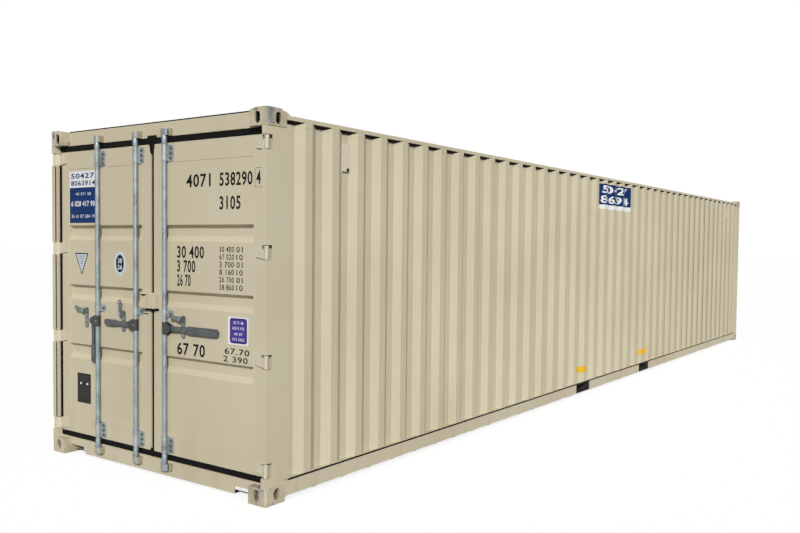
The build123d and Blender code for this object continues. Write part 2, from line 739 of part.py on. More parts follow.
def floor():
    start = SILL_SHELF_Y
    end = FRONT_RAIL_Y
    rows = math.ceil((end - start) / FLOOR_BOARD)
    row = (end - start - (rows - 1) * FLOOR_GAP) / rows
    inner = CENTRE_RAIL / 2
    with BuildPart() as boards:
        for index in range(rows):
            low = start + index * (row + FLOOR_GAP)
            block_between((inner, low, FLOOR_BOTTOM), (FLOOR_X, low + row, FLOOR_TOP))
            block_between((-FLOOR_X, low, FLOOR_BOTTOM), (-inner, low + row, FLOOR_TOP))
    keep(boards, "floor_boards")
    with BuildPart() as rail:
        with BuildSketch(Plane.XZ.offset(-end)):
            rectangle_between((-inner, FLOOR_TOP - CENTRE_RAIL_STEEL), (inner, FLOOR_TOP))
            for side in (-1, 1):
                edges = sorted((side * inner, side * (inner - CENTRE_RAIL_STEEL)))
                rectangle_between((edges[0], FLOOR_BOTTOM), (edges[1], FLOOR_TOP))
        extrude(amount=end - start)
    keep(rail, "floor_centre_rail")


def keeper(bar_x, side, low):
    # Seen from above: a base on the beam, a tall jaw behind the cam's heel and a short one past its nose
    near = bar_x - side * (CAM_RADIUS + KEEPER_CLEARANCE)
    far = bar_x + side * (CAM_REACH + KEEPER_CLEARANCE)
    near_jaw = sorted((near, near - side * KEEPER_STEEL))
    far_jaw = sorted((far, far + side * KEEPER_STEEL))
    with BuildSketch(Plane.XY.offset(low)) as outline:
        base = sorted((near, far))
        rectangle_between((base[0], DOOR_BEAM_Y - KEEPER_BASE), (base[1], DOOR_BEAM_Y))
        rectangle_between((near_jaw[0], -HALF_LENGTH + KEEPER_NEAR_SETBACK), (near_jaw[1], DOOR_BEAM_Y))
        rectangle_between((far_jaw[0], -HALF_LENGTH + KEEPER_FAR_SETBACK), (far_jaw[1], DOOR_BEAM_Y))
        tips = outline.vertices().filter_by(lambda point: point.Y < DOOR_BEAM_Y - KEEPER_BASE - KEEPER_CHAMFER)
        chamfer(tips, KEEPER_CHAMFER)
    extrude(outline.sketch, amount=CAM_HEIGHT + 2 * KEEPER_MARGIN)


def cam_keepers():
    with BuildPart() as keepers:
        for bar_x, side in zip(BAR_PLACES, BAR_SIDES):
            keeper(bar_x, side, BAR_BOTTOM - KEEPER_MARGIN)
            keeper(bar_x, side, BAR_TOP - CAM_HEIGHT - KEEPER_MARGIN)
    keep(keepers, "cam_keepers")


def vents():
    # Covers with a mouth at the foot, each in a recess of the wall near its ends
    vent_y = (SIDE_RIDGES / 2 - VENT_BAYS) * SIDE_PITCH
    top = TOP_RAIL_BOTTOM - VENT_DROP
    bottom = top - VENT_HEIGHT
    with BuildPart() as vent:
        for side in (-1, 1):
            low = side * vent_y - VENT_WIDTH / 2
            block_between((RECESS_X, low, bottom), (RECESS_X + VENT_DEPTH, low + VENT_WIDTH, top))
            block_between(
                (RECESS_X, low + SHEET, bottom),
                (RECESS_X + VENT_DEPTH - SHEET, low + VENT_WIDTH - SHEET, bottom + VENT_MOUTH),
                mode=Mode.SUBTRACT,
            )
    pair(vent, "vents")


def leaf_frame():
    with BuildPart() as frame:
        with BuildSketch(door_plane(LEAF_SETBACK)):
            rectangle_between((LEAF_SEAM_GAP, LEAF_BOTTOM), (LEAF_EDGE, LEAF_TOP))
            rectangle_between((PANEL_LEFT, PANEL_BOTTOM), (PANEL_RIGHT, PANEL_TOP), mode=Mode.SUBTRACT)
        extrude(amount=-LEAF_DEPTH)
        with BuildSketch(door_plane(LEAF_SETBACK + LEAF_STEEL)):
            rectangle_between(
                (LEAF_SEAM_GAP + LEAF_STEEL, LEAF_BOTTOM + LEAF_STEEL),
                (LEAF_EDGE - LEAF_STEEL, LEAF_TOP - LEAF_STEEL),
            )
            rectangle_between(
                (PANEL_LEFT - LEAF_STEEL, PANEL_BOTTOM - LEAF_STEEL),
                (PANEL_RIGHT + LEAF_STEEL, PANEL_TOP + LEAF_STEEL),
                mode=Mode.SUBTRACT,
            )
        extrude(amount=-LEAF_DEPTH, mode=Mode.SUBTRACT)
    return frame


def leaf_panel():
    # A sheet with pressed grooves, steep above and flatter below so that rain runs off
    outer = -HALF_LENGTH + PANEL_SETBACK
    inner = outer + GROOVE_DEPTH
    lowest = HANDLE_HEIGHT - GROOVE_BELOW_HANDLE
    face = [(outer, PANEL_BOTTOM)]
    for index in range(int((PANEL_TOP - lowest) / GROOVE_PITCH) + 1):
        top = lowest + index * GROOVE_PITCH
        flat_top = top - GROOVE_UPPER_SLOPE
        flat_bottom = flat_top - GROOVE_FLAT
        face.append((outer, flat_bottom - GROOVE_LOWER_SLOPE))
        face.append((inner, flat_bottom))
        face.append((inner, flat_top))
        face.append((outer, top))
    face.append((outer, PANEL_TOP))
    back = [(y + SHEET, z) for y, z in reversed(face)]
    with BuildPart() as panel:
        with BuildSketch(across(PANEL_LEFT)):
            with BuildLine():
                Polyline(*face, *back, close=True)
            make_face()
        extrude(amount=PANEL_RIGHT - PANEL_LEFT)
    return panel


def leaf_seal():
    # A rubber ring round the leaf, with an outer and an inner lip and a waist between them
    low = (SEAM_CLEARANCE, SILL_TOP + SEAL_CLEARANCE)
    high = (DOORWAY_X - SEAL_CLEARANCE, HEADER_BOTTOM - SEAL_CLEARANCE)
    with BuildPart() as seal:
        with BuildSketch(door_plane(SEAL_SETBACK)):
            rectangle_between(low, high)
        extrude(amount=-SEAL_DEPTH)
        with BuildSketch(door_plane(SEAL_SETBACK + SEAL_LIP)):
            rectangle_between(low, high)
            rectangle_between(
                (low[0] + SEAL_WAIST, low[1] + SEAL_WAIST),
                (high[0] - SEAL_WAIST, high[1] - SEAL_WAIST),
                mode=Mode.SUBTRACT,
            )
        extrude(amount=-SEAL_DEPTH + 2 * SEAL_LIP, mode=Mode.SUBTRACT)
        with BuildSketch(door_plane(SEAL_SETBACK)):
            rectangle_between((LEAF_SEAM_GAP, LEAF_BOTTOM), (LEAF_EDGE, LEAF_TOP))
        extrude(amount=-SEAL_DEPTH, mode=Mode.SUBTRACT)
    return seal


def leaf_hinges():
    # A knuckle and a forged blade seen from above, cut to the blade's taper as seen from outside
    leaf_face = -HALF_LENGTH + LEAF_SETBACK
    blade_face = leaf_face - HINGE_BLADE
    tip = HINGE_X - HINGE_BLADE_REACH
    outer = HINGE_X + HINGE_BARREL_RADIUS
    with BuildPart() as hinges:
        for height in hinge_heights():
            with BuildSketch(Plane.XY.offset(height - HINGE_HALF_HEIGHT)):
                with BuildLine():
                    Polyline(
                        (HINGE_X - HINGE_BARREL_RADIUS, HINGE_Y),
                        (LEAF_EDGE + HINGE_CLEARANCE, blade_face),
                        (tip, blade_face),
                        (tip, leaf_face),
                        (HINGE_X - HINGE_BARREL_RADIUS / 2, leaf_face),
                        (HINGE_X, HINGE_Y),
                        close=True,
                    )
                make_face()
                with Locations((HINGE_X, HINGE_Y)):
                    Circle(HINGE_BARREL_RADIUS)
            extrude(amount=2 * HINGE_HALF_HEIGHT)
        with BuildSketch(door_plane(0)):
            for height in hinge_heights():
                with BuildLine():
                    Polyline(
                        (outer, height - HINGE_HALF_HEIGHT),
                        (outer, height + HINGE_HALF_HEIGHT),
                        (LEAF_EDGE, height + HINGE_HALF_HEIGHT),
                        (tip, height + HINGE_TIP_HALF_HEIGHT),
                        (tip, height - HINGE_TIP_HALF_HEIGHT),
                        (LEAF_EDGE, height - HINGE_HALF_HEIGHT),
                        close=True,
                    )
                make_face()
        extrude(amount=-LEAF_SETBACK, mode=Mode.INTERSECT)
        for height in hinge_heights():
            with Locations((HINGE_X, HINGE_Y, height)):
                Cylinder(
                    HINGE_PIN_RADIUS + HINGE_PIN_CLEARANCE,
                    2 * HINGE_HALF_HEIGHT,
                    mode=Mode.SUBTRACT,
                )
    return hinges


def lock_box_half():
    front = -HALF_LENGTH + BOX_SETBACK
    back = -HALF_LENGTH + LEAF_SETBACK
    with BuildPart() as box:
        block_between((BOX_GAP, front, BOX_BOTTOM), (BOX_HALF_WIDTH, back, BOX_TOP))
        outer = box.edges().group_by(Axis.Y)[0].filter_by(Axis.X)
        fillet(outer.sort_by(Axis.Z)[-1], BOX_ROUND)
        side = box.edges().filter_by(Axis.Z).group_by(Axis.X)[-1].sort_by(Axis.Y)[0]
        fillet(side, BOX_ROUND / 2)
        block_between(
            (0, front + BOX_WALL, 0),
            (BOX_HALF_WIDTH - BOX_WALL, 0, BOX_TOP - BOX_WALL - BOX_ROUND / 2),
            mode=Mode.SUBTRACT,
        )
    return box


def leaves():
    for make, name in (
        (leaf_frame, "frame"),
        (leaf_panel, "panel"),
        (leaf_seal, "seal"),
        (leaf_hinges, "hinges"),
        (lock_box_half, "lock_box"),
    ):
        right = make()
        keep(right, f"right_door_{name}")
        keep(mirrored(right, Plane.YZ), f"left_door_{name}")


def bar_bracket(bar_x, low, height, seat):
    # A plate on the leaf, and at its middle a strap bent round the lock bar
    seat_y = -HALF_LENGTH + seat
    high = low + height
    back = bar_x - BRACKET_BACK_REACH
    end = bar_x + BRACKET_REACH
    saddle = min(BRACKET_SADDLE, height)
    bore = BAR_RADIUS + BAR_CLEARANCE
    with BuildSketch(door_plane(seat)) as plate:
        with BuildLine():
            Polyline(
                (back, low),
                (end - BRACKET_CORNER, low),
                (end, low + BRACKET_CORNER),
                (end, high - BRACKET_CORNER),
                (end - BRACKET_CORNER, high),
                (back, high),
                close=True,
            )
        make_face()
    extrude(plate.sketch, amount=BRACKET_PLATE)
    with BuildSketch(Plane.XY.offset((low + high - saddle) / 2)) as section:
        with Locations((bar_x, BAR_Y)):
            Circle(BRACKET_RADIUS)
        rectangle_between((bar_x - BRACKET_RADIUS, BAR_Y), (bar_x + BRACKET_RADIUS, seat_y))
        with Locations((bar_x, BAR_Y)):
            Circle(bore, mode=Mode.SUBTRACT)
        rectangle_between((bar_x - bore, BAR_Y), (bar_x + bore, seat_y), mode=Mode.SUBTRACT)
    extrude(section.sketch, amount=saddle)


def bar_brackets(places, label):
    with BuildPart() as brackets:
        for bar_x in places:
            top = LEAF_TOP - BRACKET_TOP_MARGIN - BRACKET_HEIGHT
            bar_bracket(bar_x, top, BRACKET_HEIGHT, LEAF_SETBACK)
            bar_bracket(bar_x, HANDLE_HEIGHT + GUIDE_ABOVE_HANDLE, GUIDE_HEIGHT, PANEL_SETBACK)
            bar_bracket(bar_x, LEAF_BOTTOM + BRACKET_BOTTOM_MARGIN, BRACKET_HEIGHT, LEAF_SETBACK)
        block_between(
            (-PANEL_LEFT, -HALF_LENGTH + LEAF_SETBACK, LEAF_BOTTOM),
            (PANEL_LEFT, -HALF_LENGTH + PANEL_SETBACK, LEAF_TOP),
            mode=Mode.SUBTRACT,
        )
    keep(brackets, label)


def catch_places(side):
    return [place for place, leaf in zip(CATCH_PLACES, BAR_SIDES) if leaf == side]


def handle_catches(side, label):
    # A plate with an eye at its foot, and at its head the boss and pin that the arm swings on
    with BuildPart() as catches:
        for place in catch_places(side):
            with BuildSketch(door_plane(PANEL_SETBACK)) as plate:
                rectangle_between(
                    (place - CATCH_HALF_WIDTH, CATCH_BOTTOM - CATCH_HALF_WIDTH),
                    (place + CATCH_HALF_WIDTH, CATCH_TOP + CATCH_HALF_WIDTH),
                )
                chamfer(plate.vertices(), CATCH_CORNER)
                with Locations((place, CATCH_BOTTOM)):
                    Circle(CATCH_EYE, mode=Mode.SUBTRACT)
            extrude(amount=CATCH_PLATE)
            with BuildSketch(door_plane(PANEL_SETBACK)):
                with Locations((place, CATCH_TOP)):
                    Rectangle(CATCH_BOSS, CATCH_BOSS)
            extrude(amount=PANEL_SETBACK - ARM_SETBACK - ARM_THICKNESS - BAR_CLEARANCE)
            with BuildSketch(door_plane(PANEL_SETBACK)):
                with Locations((place, CATCH_TOP)):
                    Circle(ARM_PIVOT_RADIUS)
            extrude(amount=PANEL_SETBACK - ARM_SETBACK)
    keep(catches, label)


def turned_plane(x, setback, z, angle):
    # Sketches are drawn along +X from the pivot, and this turns them to the angle of rest
    return Plane(
        origin=(x, -HALF_LENGTH + setback, z),
        x_dir=(math.cos(math.radians(angle)), 0, math.sin(math.radians(angle))),
        z_dir=(0, -1, 0),
    )


def catch_arm(index):
    # A tapered arm from its pivot to a ring for a padlock, with a tooth beside the ring
    place = turned_plane(CATCH_PLACES[index], ARM_SETBACK + ARM_THICKNESS, CATCH_TOP, ARM_ANGLES[index])
    with BuildPart() as arm:
        with BuildSketch(place):
            Circle(ARM_RING_RADIUS)
            with Locations((ARM_LENGTH, 0)):
                Circle(ARM_NECK)
            make_hull()
            with Locations((ARM_LENGTH, 0)):
                Circle(ARM_RING_RADIUS)
            with Locations((ARM_LENGTH - ARM_TOOTH, ARM_RING_RADIUS)):
                Rectangle(ARM_TOOTH, ARM_TOOTH)
            with Locations((ARM_LENGTH, 0)):
                Circle(ARM_RING_HOLE, mode=Mode.SUBTRACT)
            Circle(ARM_PIVOT_RADIUS + BAR_CLEARANCE, mode=Mode.SUBTRACT)
        extrude(amount=ARM_THICKNESS)
    keep(arm, f"catch_arm_{index + 1}")


def bar_cam(bar_x, side, low):
    # A forged end that closes the tube, with a nose on the handle's side
    with BuildSketch(Plane.XY.offset(low)) as cam:
        with Locations((bar_x, BAR_Y)):
            Circle(CAM_RADIUS)
        with Locations((bar_x + side * (CAM_REACH - CAM_NOSE), BAR_Y)):
            Circle(CAM_NOSE)
        make_hull()
    extrude(cam.sketch, amount=CAM_HEIGHT)


def lock_bar(index):
    bar_x = BAR_PLACES[index]
    side = BAR_SIDES[index]
    pivot_x = bar_x + side * HANDLE_PIVOT
    half_gap = HANDLE_THICKNESS / 2 + HUB_EAR_GAP
    with BuildPart() as bar:
        with BuildSketch(Plane.XY.offset(BAR_BOTTOM)):
            with Locations((bar_x, BAR_Y)):
                Circle(BAR_RADIUS)
                Circle(BAR_RADIUS - BAR_WALL, mode=Mode.SUBTRACT)
        extrude(amount=BAR_TOP - BAR_BOTTOM)
        bar_cam(bar_x, side, BAR_BOTTOM)
        bar_cam(bar_x, side, BAR_TOP - CAM_HEIGHT)
        with Locations((bar_x, BAR_Y, HANDLE_HEIGHT)):
            Cylinder(HUB_RADIUS, 2 * HUB_HALF_HEIGHT)
        for front in (BAR_SETBACK - half_gap - HUB_EAR, BAR_SETBACK + half_gap):
            with BuildSketch(door_plane(front + HUB_EAR)):
                with Locations((pivot_x, HANDLE_HEIGHT)):
                    Circle(HUB_EAR_RADIUS)
                reach = sorted((bar_x, bar_x + side * HUB_RADIUS))
                rectangle_between(
                    (reach[0], HANDLE_HEIGHT - HUB_HALF_HEIGHT),
                    (reach[1], HANDLE_HEIGHT + HUB_HALF_HEIGHT),
                )
                make_hull()
            extrude(amount=HUB_EAR)
        with BuildSketch(door_plane(BAR_SETBACK + half_gap)):
            with Locations((pivot_x, HANDLE_HEIGHT)):
                Circle(HANDLE_PIVOT_RADIUS)
        extrude(amount=2 * half_gap)
    keep(bar, f"lock_bar_{index + 1}")


def handle(index, angle, sizes):
    # A flat lever: an eye on the pivot, a neck that tapers, and a wider grip with a clipped tip
    length, grip_length, grip_height = sizes
    pivot_x = BAR_PLACES[index] + BAR_SIDES[index] * HANDLE_PIVOT
    place = turned_plane(pivot_x, BAR_SETBACK + HANDLE_THICKNESS / 2, HANDLE_HEIGHT, angle)
    neck_end = length - grip_length
    tip_low = length - HANDLE_TIP_CORNER
    with BuildPart() as lever:
        with BuildSketch(place):
            Circle(HANDLE_ROOT / 2)
            with BuildLine():
                Polyline(
                    (0, -HANDLE_ROOT / 2),
                    (neck_end - grip_height / 2, -HANDLE_NECK / 2),
                    (neck_end, -grip_height / 2),
                    (tip_low, -grip_height / 2),
                    (length, -grip_height / 2 + HANDLE_TIP_CORNER),
                    (length, grip_height / 2 - HANDLE_TIP_CORNER),
                    (tip_low, grip_height / 2),
                    (neck_end, grip_height / 2),
                    (neck_end - grip_height / 2, HANDLE_NECK / 2),
                    (0, HANDLE_ROOT / 2),
                    close=True,
                )
            make_face()
            Circle(HANDLE_PIVOT_RADIUS + BAR_CLEARANCE, mode=Mode.SUBTRACT)
        extrude(amount=HANDLE_THICKNESS)
    keep(lever, f"handle_{index + 1}")


def lock_gear():
    for index in range(len(BAR_PLACES)):
        lock_bar(index)
        catch_arm(index)
    handle(0, -90.0, SHORT_HANDLE)
    handle(1, 180.0, SHORT_HANDLE)
    handle(2, 0.0, LONG_HANDLE)
    for side, name in ((-1, "left"), (1, "right")):
        places = [place for place, leaf in zip(BAR_PLACES, BAR_SIDES) if leaf == side]
        bar_brackets(places, f"{name}_door_bar_brackets")
        handle_catches(side, f"{name}_door_handle_catches")


os.makedirs("parts", exist_ok=True)
corner_castings()
door_post()
front_post()
door_header()
door_sill()
front_rails()
side_rails()
side_walls()
front_wall()
roof()
cross_members()
fork_pockets()
gooseneck_tunnel()
floor()
cam_keepers()
vents()
leaves()
lock_gear()
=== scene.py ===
import json
import math

import bpy
from mathutils import Matrix, Vector


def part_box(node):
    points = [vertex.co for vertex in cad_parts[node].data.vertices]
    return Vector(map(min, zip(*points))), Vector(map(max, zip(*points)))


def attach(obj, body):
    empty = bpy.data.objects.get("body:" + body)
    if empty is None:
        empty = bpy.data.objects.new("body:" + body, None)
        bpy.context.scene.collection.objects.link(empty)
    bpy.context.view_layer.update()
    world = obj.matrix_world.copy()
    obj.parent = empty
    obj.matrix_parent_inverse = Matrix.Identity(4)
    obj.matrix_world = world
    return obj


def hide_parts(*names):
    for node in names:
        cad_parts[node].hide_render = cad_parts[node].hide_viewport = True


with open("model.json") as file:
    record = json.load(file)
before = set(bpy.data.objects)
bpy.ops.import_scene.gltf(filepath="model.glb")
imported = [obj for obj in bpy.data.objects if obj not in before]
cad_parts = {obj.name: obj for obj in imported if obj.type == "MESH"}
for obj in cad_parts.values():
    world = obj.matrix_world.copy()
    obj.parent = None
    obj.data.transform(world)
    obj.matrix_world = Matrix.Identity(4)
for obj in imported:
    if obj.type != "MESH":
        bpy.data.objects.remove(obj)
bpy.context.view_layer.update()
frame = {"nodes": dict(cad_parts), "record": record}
NODES = frame["nodes"]

# Places on the container, in metres, which follow the part's source
HEIGHT = 2.591
HALF_LENGTH = 6.096
BOX_FACE = -HALF_LENGTH + 0.001
POST_FACE = -HALF_LENGTH + 0.0025
ARM_FACE = -HALF_LENGTH + 0.010
KEEPER_FACE = -HALF_LENGTH + 0.010
BAR_LINE = -HALF_LENGTH + 0.028
FLAP_FACE = -HALF_LENGTH + 0.0455
BRACKET_FACE = -HALF_LENGTH + 0.046
CATCH_FACE = -HALF_LENGTH + 0.046
GUIDE_FACE = -HALF_LENGTH + 0.048
LEAF_FACE = -HALF_LENGTH + 0.050
PANEL_FACE = -HALF_LENGTH + 0.052
BEAM_FACE = -HALF_LENGTH + 0.060
WALL_OUTER = 1.214
WALL_END = 5.873
WALL_PITCH = 0.278
WALL_RIDGE_HALF = 0.036
WALL_SLOPE = 0.068
WALL_DEPTH = 0.036
HANDLE_LINE = 1.098
HUB_BAND = 0.0432
LOWEST_HINGE = 0.234
HIGHEST_HINGE = 2.366
HINGE_HEIGHTS = [LOWEST_HINGE + step * (HIGHEST_HINGE - LOWEST_HINGE) / 3 for step in range(4)]
HINGE_PIN_X = 1.199
HINGE_PIN_Y = -6.077
HINGE_LUG = 0.0475
BRACKET_FEET = (2.289, 0.188)
BRACKET_BOLTS = (0.024, 0.060, 0.096)
GUIDE_BOLT = 1.2005
BOLT_FROM_BAR = 0.052
COLLARS = (0.313, 2.283, 1.232)
VENT_Y = 5.282
VENT_FACE = 1.194

# Foot, head and rivet of the sleeves at both ends of a bar
SLEEVES = ((0.112, 0.182, 0.150), (2.415, 2.476, 2.446))

# Lock bars: where each stands, and 1 or -1 for the side that its handle points to
BARS = {1: (-0.640, -1), 2: (-0.167, -1), 3: (0.165, 1)}
CATCHES = {1: -0.815, 2: -0.342, 3: 0.345}
LEAF_OF = {1: "left_door", 2: "left_door", 3: "right_door"}
LEAVES = (("right_door", 1), ("left_door", -1))

# The top rails' faces, which are half as tall as the part's tubes
RAIL_FACE = 0.030
RAIL_WIDTH = 0.060
RAIL_LOW, RAIL_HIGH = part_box("top_side_rails")
RAIL_BOTTOM = RAIL_HIGH[2] - RAIL_FACE
WALL_TOP = RAIL_LOW[2]

# Thickness of films and of stencil paint
FILM = 0.0005

# Turns that lay a piece made along Z on another axis
TURNS = {"X": (0, math.pi / 2, 0), "Y": (math.pi / 2, 0, 0), "Z": (0, 0, 0)}


# Shader maths

class Signal:
    """A value in a shader, with Python's operators for its Math nodes."""

    def __init__(self, tree, socket):
        self.tree = tree
        self.socket = socket

    def maths(self, operation, *others):
        node = self.tree.nodes.new("ShaderNodeMath")
        node.operation = operation
        for place, value in enumerate(others):
            if isinstance(value, Signal):
                self.tree.links.new(value.socket, node.inputs[place])
            else:
                node.inputs[place].default_value = value
        return Signal(self.tree, node.outputs[0])

    def __add__(self, other):
        return self.maths("ADD", self, other)

    def __sub__(self, other):
        return self.maths("SUBTRACT", self, other)

    def __rsub__(self, other):
        return self.maths("SUBTRACT", other, self)

    def __mul__(self, other):
        return self.maths("MULTIPLY", self, other)

    def __gt__(self, other):
        return self.maths("GREATER_THAN", self, other)

    def __lt__(self, other):
        return self.maths("LESS_THAN", self, other)

    def __abs__(self):
        return self.maths("ABSOLUTE", self)


SOCKETS = {
    "base_color": "Base Color",
    "roughness": "Roughness",
    "metallic": "Metallic",
    "specular_ior_level": "Specular IOR Level",
    "normal": "Normal",
    "emission_color": "Emission Color",
}

# Sockets of a Mix node by number, since its two colours share their names with its two values
MIX_FACTOR = 0
MIX_VALUES = (2, 3)
MIX_COLOURS = (6, 7)
MIX_VALUE_OUT = 0
MIX_COLOUR_OUT = 2


class Finish:
    """One material: its nodes, and the shader that they feed."""

    def __init__(self, name):
        self.material = bpy.data.materials.new(name)
        self.material.use_nodes = True
        self.tree = self.material.node_tree
        self.shader = self.tree.nodes["Principled BSDF"]
        self.place = self.node("ShaderNodeTexCoord", output="Object")

    def node(self, kind, settings=None, values=None, output=0):
        made = self.tree.nodes.new(kind)
        for key, value in (settings or {}).items():
            setattr(made, key, value)
        for key, value in (values or {}).items():
            if isinstance(value, Signal):
                self.tree.links.new(value.socket, made.inputs[key])
            else:
                made.inputs[key].default_value = value
        return Signal(self.tree, made.outputs[output])

    def axis(self, name):
        return self.node("ShaderNodeSeparateXYZ", values={"Vector": self.place}, output=name)

    def distance(self, name):
        # How far a point lies from the container's middle along one axis
        return abs(self.axis(name))

    def noise(self, scale, stretch=(1, 1, 1), detail=3.0, roughness=0.5):
        at = self.node("ShaderNodeMapping", values={"Vector": self.place, "Scale": stretch})
        values = {"Vector": at, "Scale": scale, "Detail": detail, "Roughness": roughness}
        return self.node("ShaderNodeTexNoise", values=values)

    def fade(self, signal, start, end, low=0.0, high=1.0):
        # Runs from low to high while the signal runs from start to end, and stays level beyond
        values = {"Value": signal, "From Min": start, "From Max": end, "To Min": low, "To Max": high}
        return self.node("ShaderNodeMapRange", settings={"clamp": True}, values=values)

    def mix(self, factor, first, second):
        values = dict(zip((MIX_FACTOR, *MIX_COLOURS), (factor, first, second)))
        settings = {"data_type": "RGBA"}
        return self.node("ShaderNodeMix", settings=settings, values=values, output=MIX_COLOUR_OUT)

    def bump(self, height, strength):
        values = {"Height": height, "Strength": strength, "Distance": 1.0}
        return self.node("ShaderNodeBump", values=values)

    def feed(self, **sockets):
        # Links signals and sets plain values on the shader, and gives the finished material
        for key, value in sockets.items():
            socket = self.shader.inputs[SOCKETS[key]]
            if isinstance(value, Signal):
                self.tree.links.new(value.socket, socket)
            else:
                socket.default_value = value
        return self.material


# Colours, as linear red, green, blue and alpha
TAN = (0.560, 0.500, 0.362, 1)
TAN_FADED = (0.600, 0.545, 0.405, 1)
TAN_DIRTY = (0.400, 0.340, 0.225, 1)
RUST = (0.150, 0.060, 0.025, 1)
GREY_STEEL = (0.34, 0.34, 0.33, 1)
RUBBED_STEEL = (0.66, 0.66, 0.62, 1)
WORN_STEEL = (0.32, 0.32, 0.29, 1)
WORN_DARK = (0.17, 0.17, 0.15, 1)
DEEP_SHADE = (0.018, 0.016, 0.013, 1)
CASTING_HOLLOW_SHADE = (0.020, 0.016, 0.012, 1)
COATING = (0.014, 0.014, 0.015, 1)
COATING_DUST = (0.10, 0.09, 0.075, 1)
ZINC = (0.29, 0.34, 0.37, 1)
ZINC_DULL = (0.16, 0.19, 0.21, 1)
ZINC_FLOWER = (0.52, 0.58, 0.62, 1)
SADDLE_ZINC = (0.36, 0.39, 0.39, 1)
SADDLE_DULL = (0.10, 0.11, 0.11, 1)
ARM_GREY = (0.14, 0.15, 0.15, 1)
ARM_DULL = (0.040, 0.043, 0.043, 1)
HANDLE_GREY = (0.045, 0.048, 0.047, 1)
HANDLE_DULL = (0.022, 0.024, 0.024, 1)
BAR_FLANK_SHADE = (0.040, 0.045, 0.062, 1)
RUBBER = (0.006, 0.006, 0.006, 1)
RUBBER_DUST = (0.035, 0.032, 0.028, 1)
PLY_DARK = (0.30, 0.19, 0.10, 1)
PLY_PALE = (0.48, 0.33, 0.19, 1)
TYRE_MARK = (0.09, 0.07, 0.05, 1)
PLASTIC = (0.60, 0.55, 0.42, 1)
PLASTIC_FADED = (0.68, 0.63, 0.50, 1)
SOOT = (0.012, 0.012, 0.012, 1)
FLOOR_GREY = (0.25, 0.25, 0.25, 1)
FLOOR_SHADE = (0.02, 0.02, 0.02, 1)
SKY_TINT = (0.95, 0.98, 1.0, 1)
WHITE = (1, 1, 1, 1)


def painted_steel(name, wear, streaks, darkened=None):
    # Sprayed paint with faded patches, dirt that runs down, small chips and an orange-peel surface
    finish = Finish(name)
    fading = finish.fade(finish.noise(0.9, detail=2.0), 0.35, 0.68)
    colour = finish.mix(fading, TAN, TAN_FADED)
    runs = finish.noise(9.0, stretch=(1.0, 1.0, 0.07), detail=4.0)
    low_down = finish.fade(finish.axis("Z"), 0.9, 0.05, 0.25, 1.0)
    dirt = finish.fade(runs, 0.52, 0.78) * low_down * streaks
    colour = finish.mix(dirt, colour, TAN_DIRTY)
    grime = finish.fade(finish.noise(40.0, detail=5.0, roughness=0.65), 0.60, 0.80) * (0.22 * streaks)
    colour = finish.mix(grime, colour, TAN_DIRTY)
    chips = finish.noise(55.0, detail=6.0, roughness=0.7)
    patches = finish.noise(2.3, detail=2.0)
    chipped = finish.fade(chips * finish.fade(patches, 0.35, 0.75, 0.75, 1.0), wear, wear + 0.03)
    colour = finish.mix(chipped, colour, RUST)
    # Painted shade where a darkening mask is given
    if darkened:
        colour = finish.mix(darkened(finish), colour, DEEP_SHADE)
    peel = finish.noise(260.0, detail=2.0)
    dents = finish.noise(3.2, detail=2.0)
    relief = peel * 0.0004 + dents * 0.006 - chipped * 0.0006
    return finish.feed(
        base_color=colour,
        roughness=finish.fade(runs, 0.3, 0.8, 0.42, 0.62),
        specular_ior_level=0.05,
        normal=finish.bump(relief, 0.35),
    )


def wall_groove_shade(finish):
    # Painted shade in the grooves' inner corners that face the doors, and the wall painted a little
    # darker towards the blind end
    pitches = finish.axis("Y") * (1 / WALL_PITCH)
    share = pitches.maths("FRACT", pitches)
    corner = (WALL_PITCH / 2 - WALL_RIDGE_HALF - WALL_SLOPE) / WALL_PITCH
    line = finish.fade(abs(share - corner), 0.060, 0.020)
    far_end = finish.fade(finish.axis("Y"), -0.5, 4.0)
    return (line * 0.50 + 0.10) * far_end


def behind_sill(finish):
    # Painted shade in the hollow behind the sill's face, seen through its notches
    return finish.fade(finish.axis("Y"), BEAM_FACE + 0.002, BEAM_FACE + 0.008)


def keeper_flanks(finish):
    # Painted shade in the jaws of the keepers, behind their front faces
    return finish.fade(finish.axis("Y"), KEEPER_FACE - 0.002, KEEPER_FACE + 0.006) * 0.4


def hinge_forging(name):
    # Rough forged blades, painted over and rubbed pale on their high spots
    finish = Finish(name)
    pits = finish.noise(95.0, detail=5.0, roughness=0.7)
    rubbed = finish.fade(pits, 0.50, 0.60)
    on_blade = finish.fade(finish.distance("X"), 1.166, 1.160)
    colour = finish.mix(rubbed * on_blade * 0.75, TAN, RUBBED_STEEL)
    stains = finish.fade(finish.noise(30.0, detail=4.0), 0.62, 0.74)
    colour = finish.mix(stains * 0.5, colour, TAN_DIRTY)
    return finish.feed(
        base_color=colour,
        roughness=finish.fade(pits, 0.3, 0.7, 0.62, 0.42),
        normal=finish.bump(pits * 0.0016, 0.6),
    )


def casting_hollow_shade(finish):
    # 1 in the hollow of a corner casting, where painted shade darkens it
    side = finish.distance("X")
    end = finish.distance("Y")
    middle = HEIGHT / 2
    away = abs(finish.axis("Z") - middle)
    walls = finish.fade(side, 1.213, 1.200) * finish.fade(end, 6.090, 6.077)
    inner = (side > 1.062) * (end > 5.923)
    return walls * inner * (away > middle - 0.111) * (away < middle - 0.011)


def worn_corner(finish):
    # The side of the right door casting has lost its paint in front of the aperture
    front = finish.fade(finish.axis("Y"), -6.020, -6.034)
    outer = finish.fade(finish.axis("X"), 1.200, 1.210)
    return front * outer * (finish.axis("Z") > 2.483)


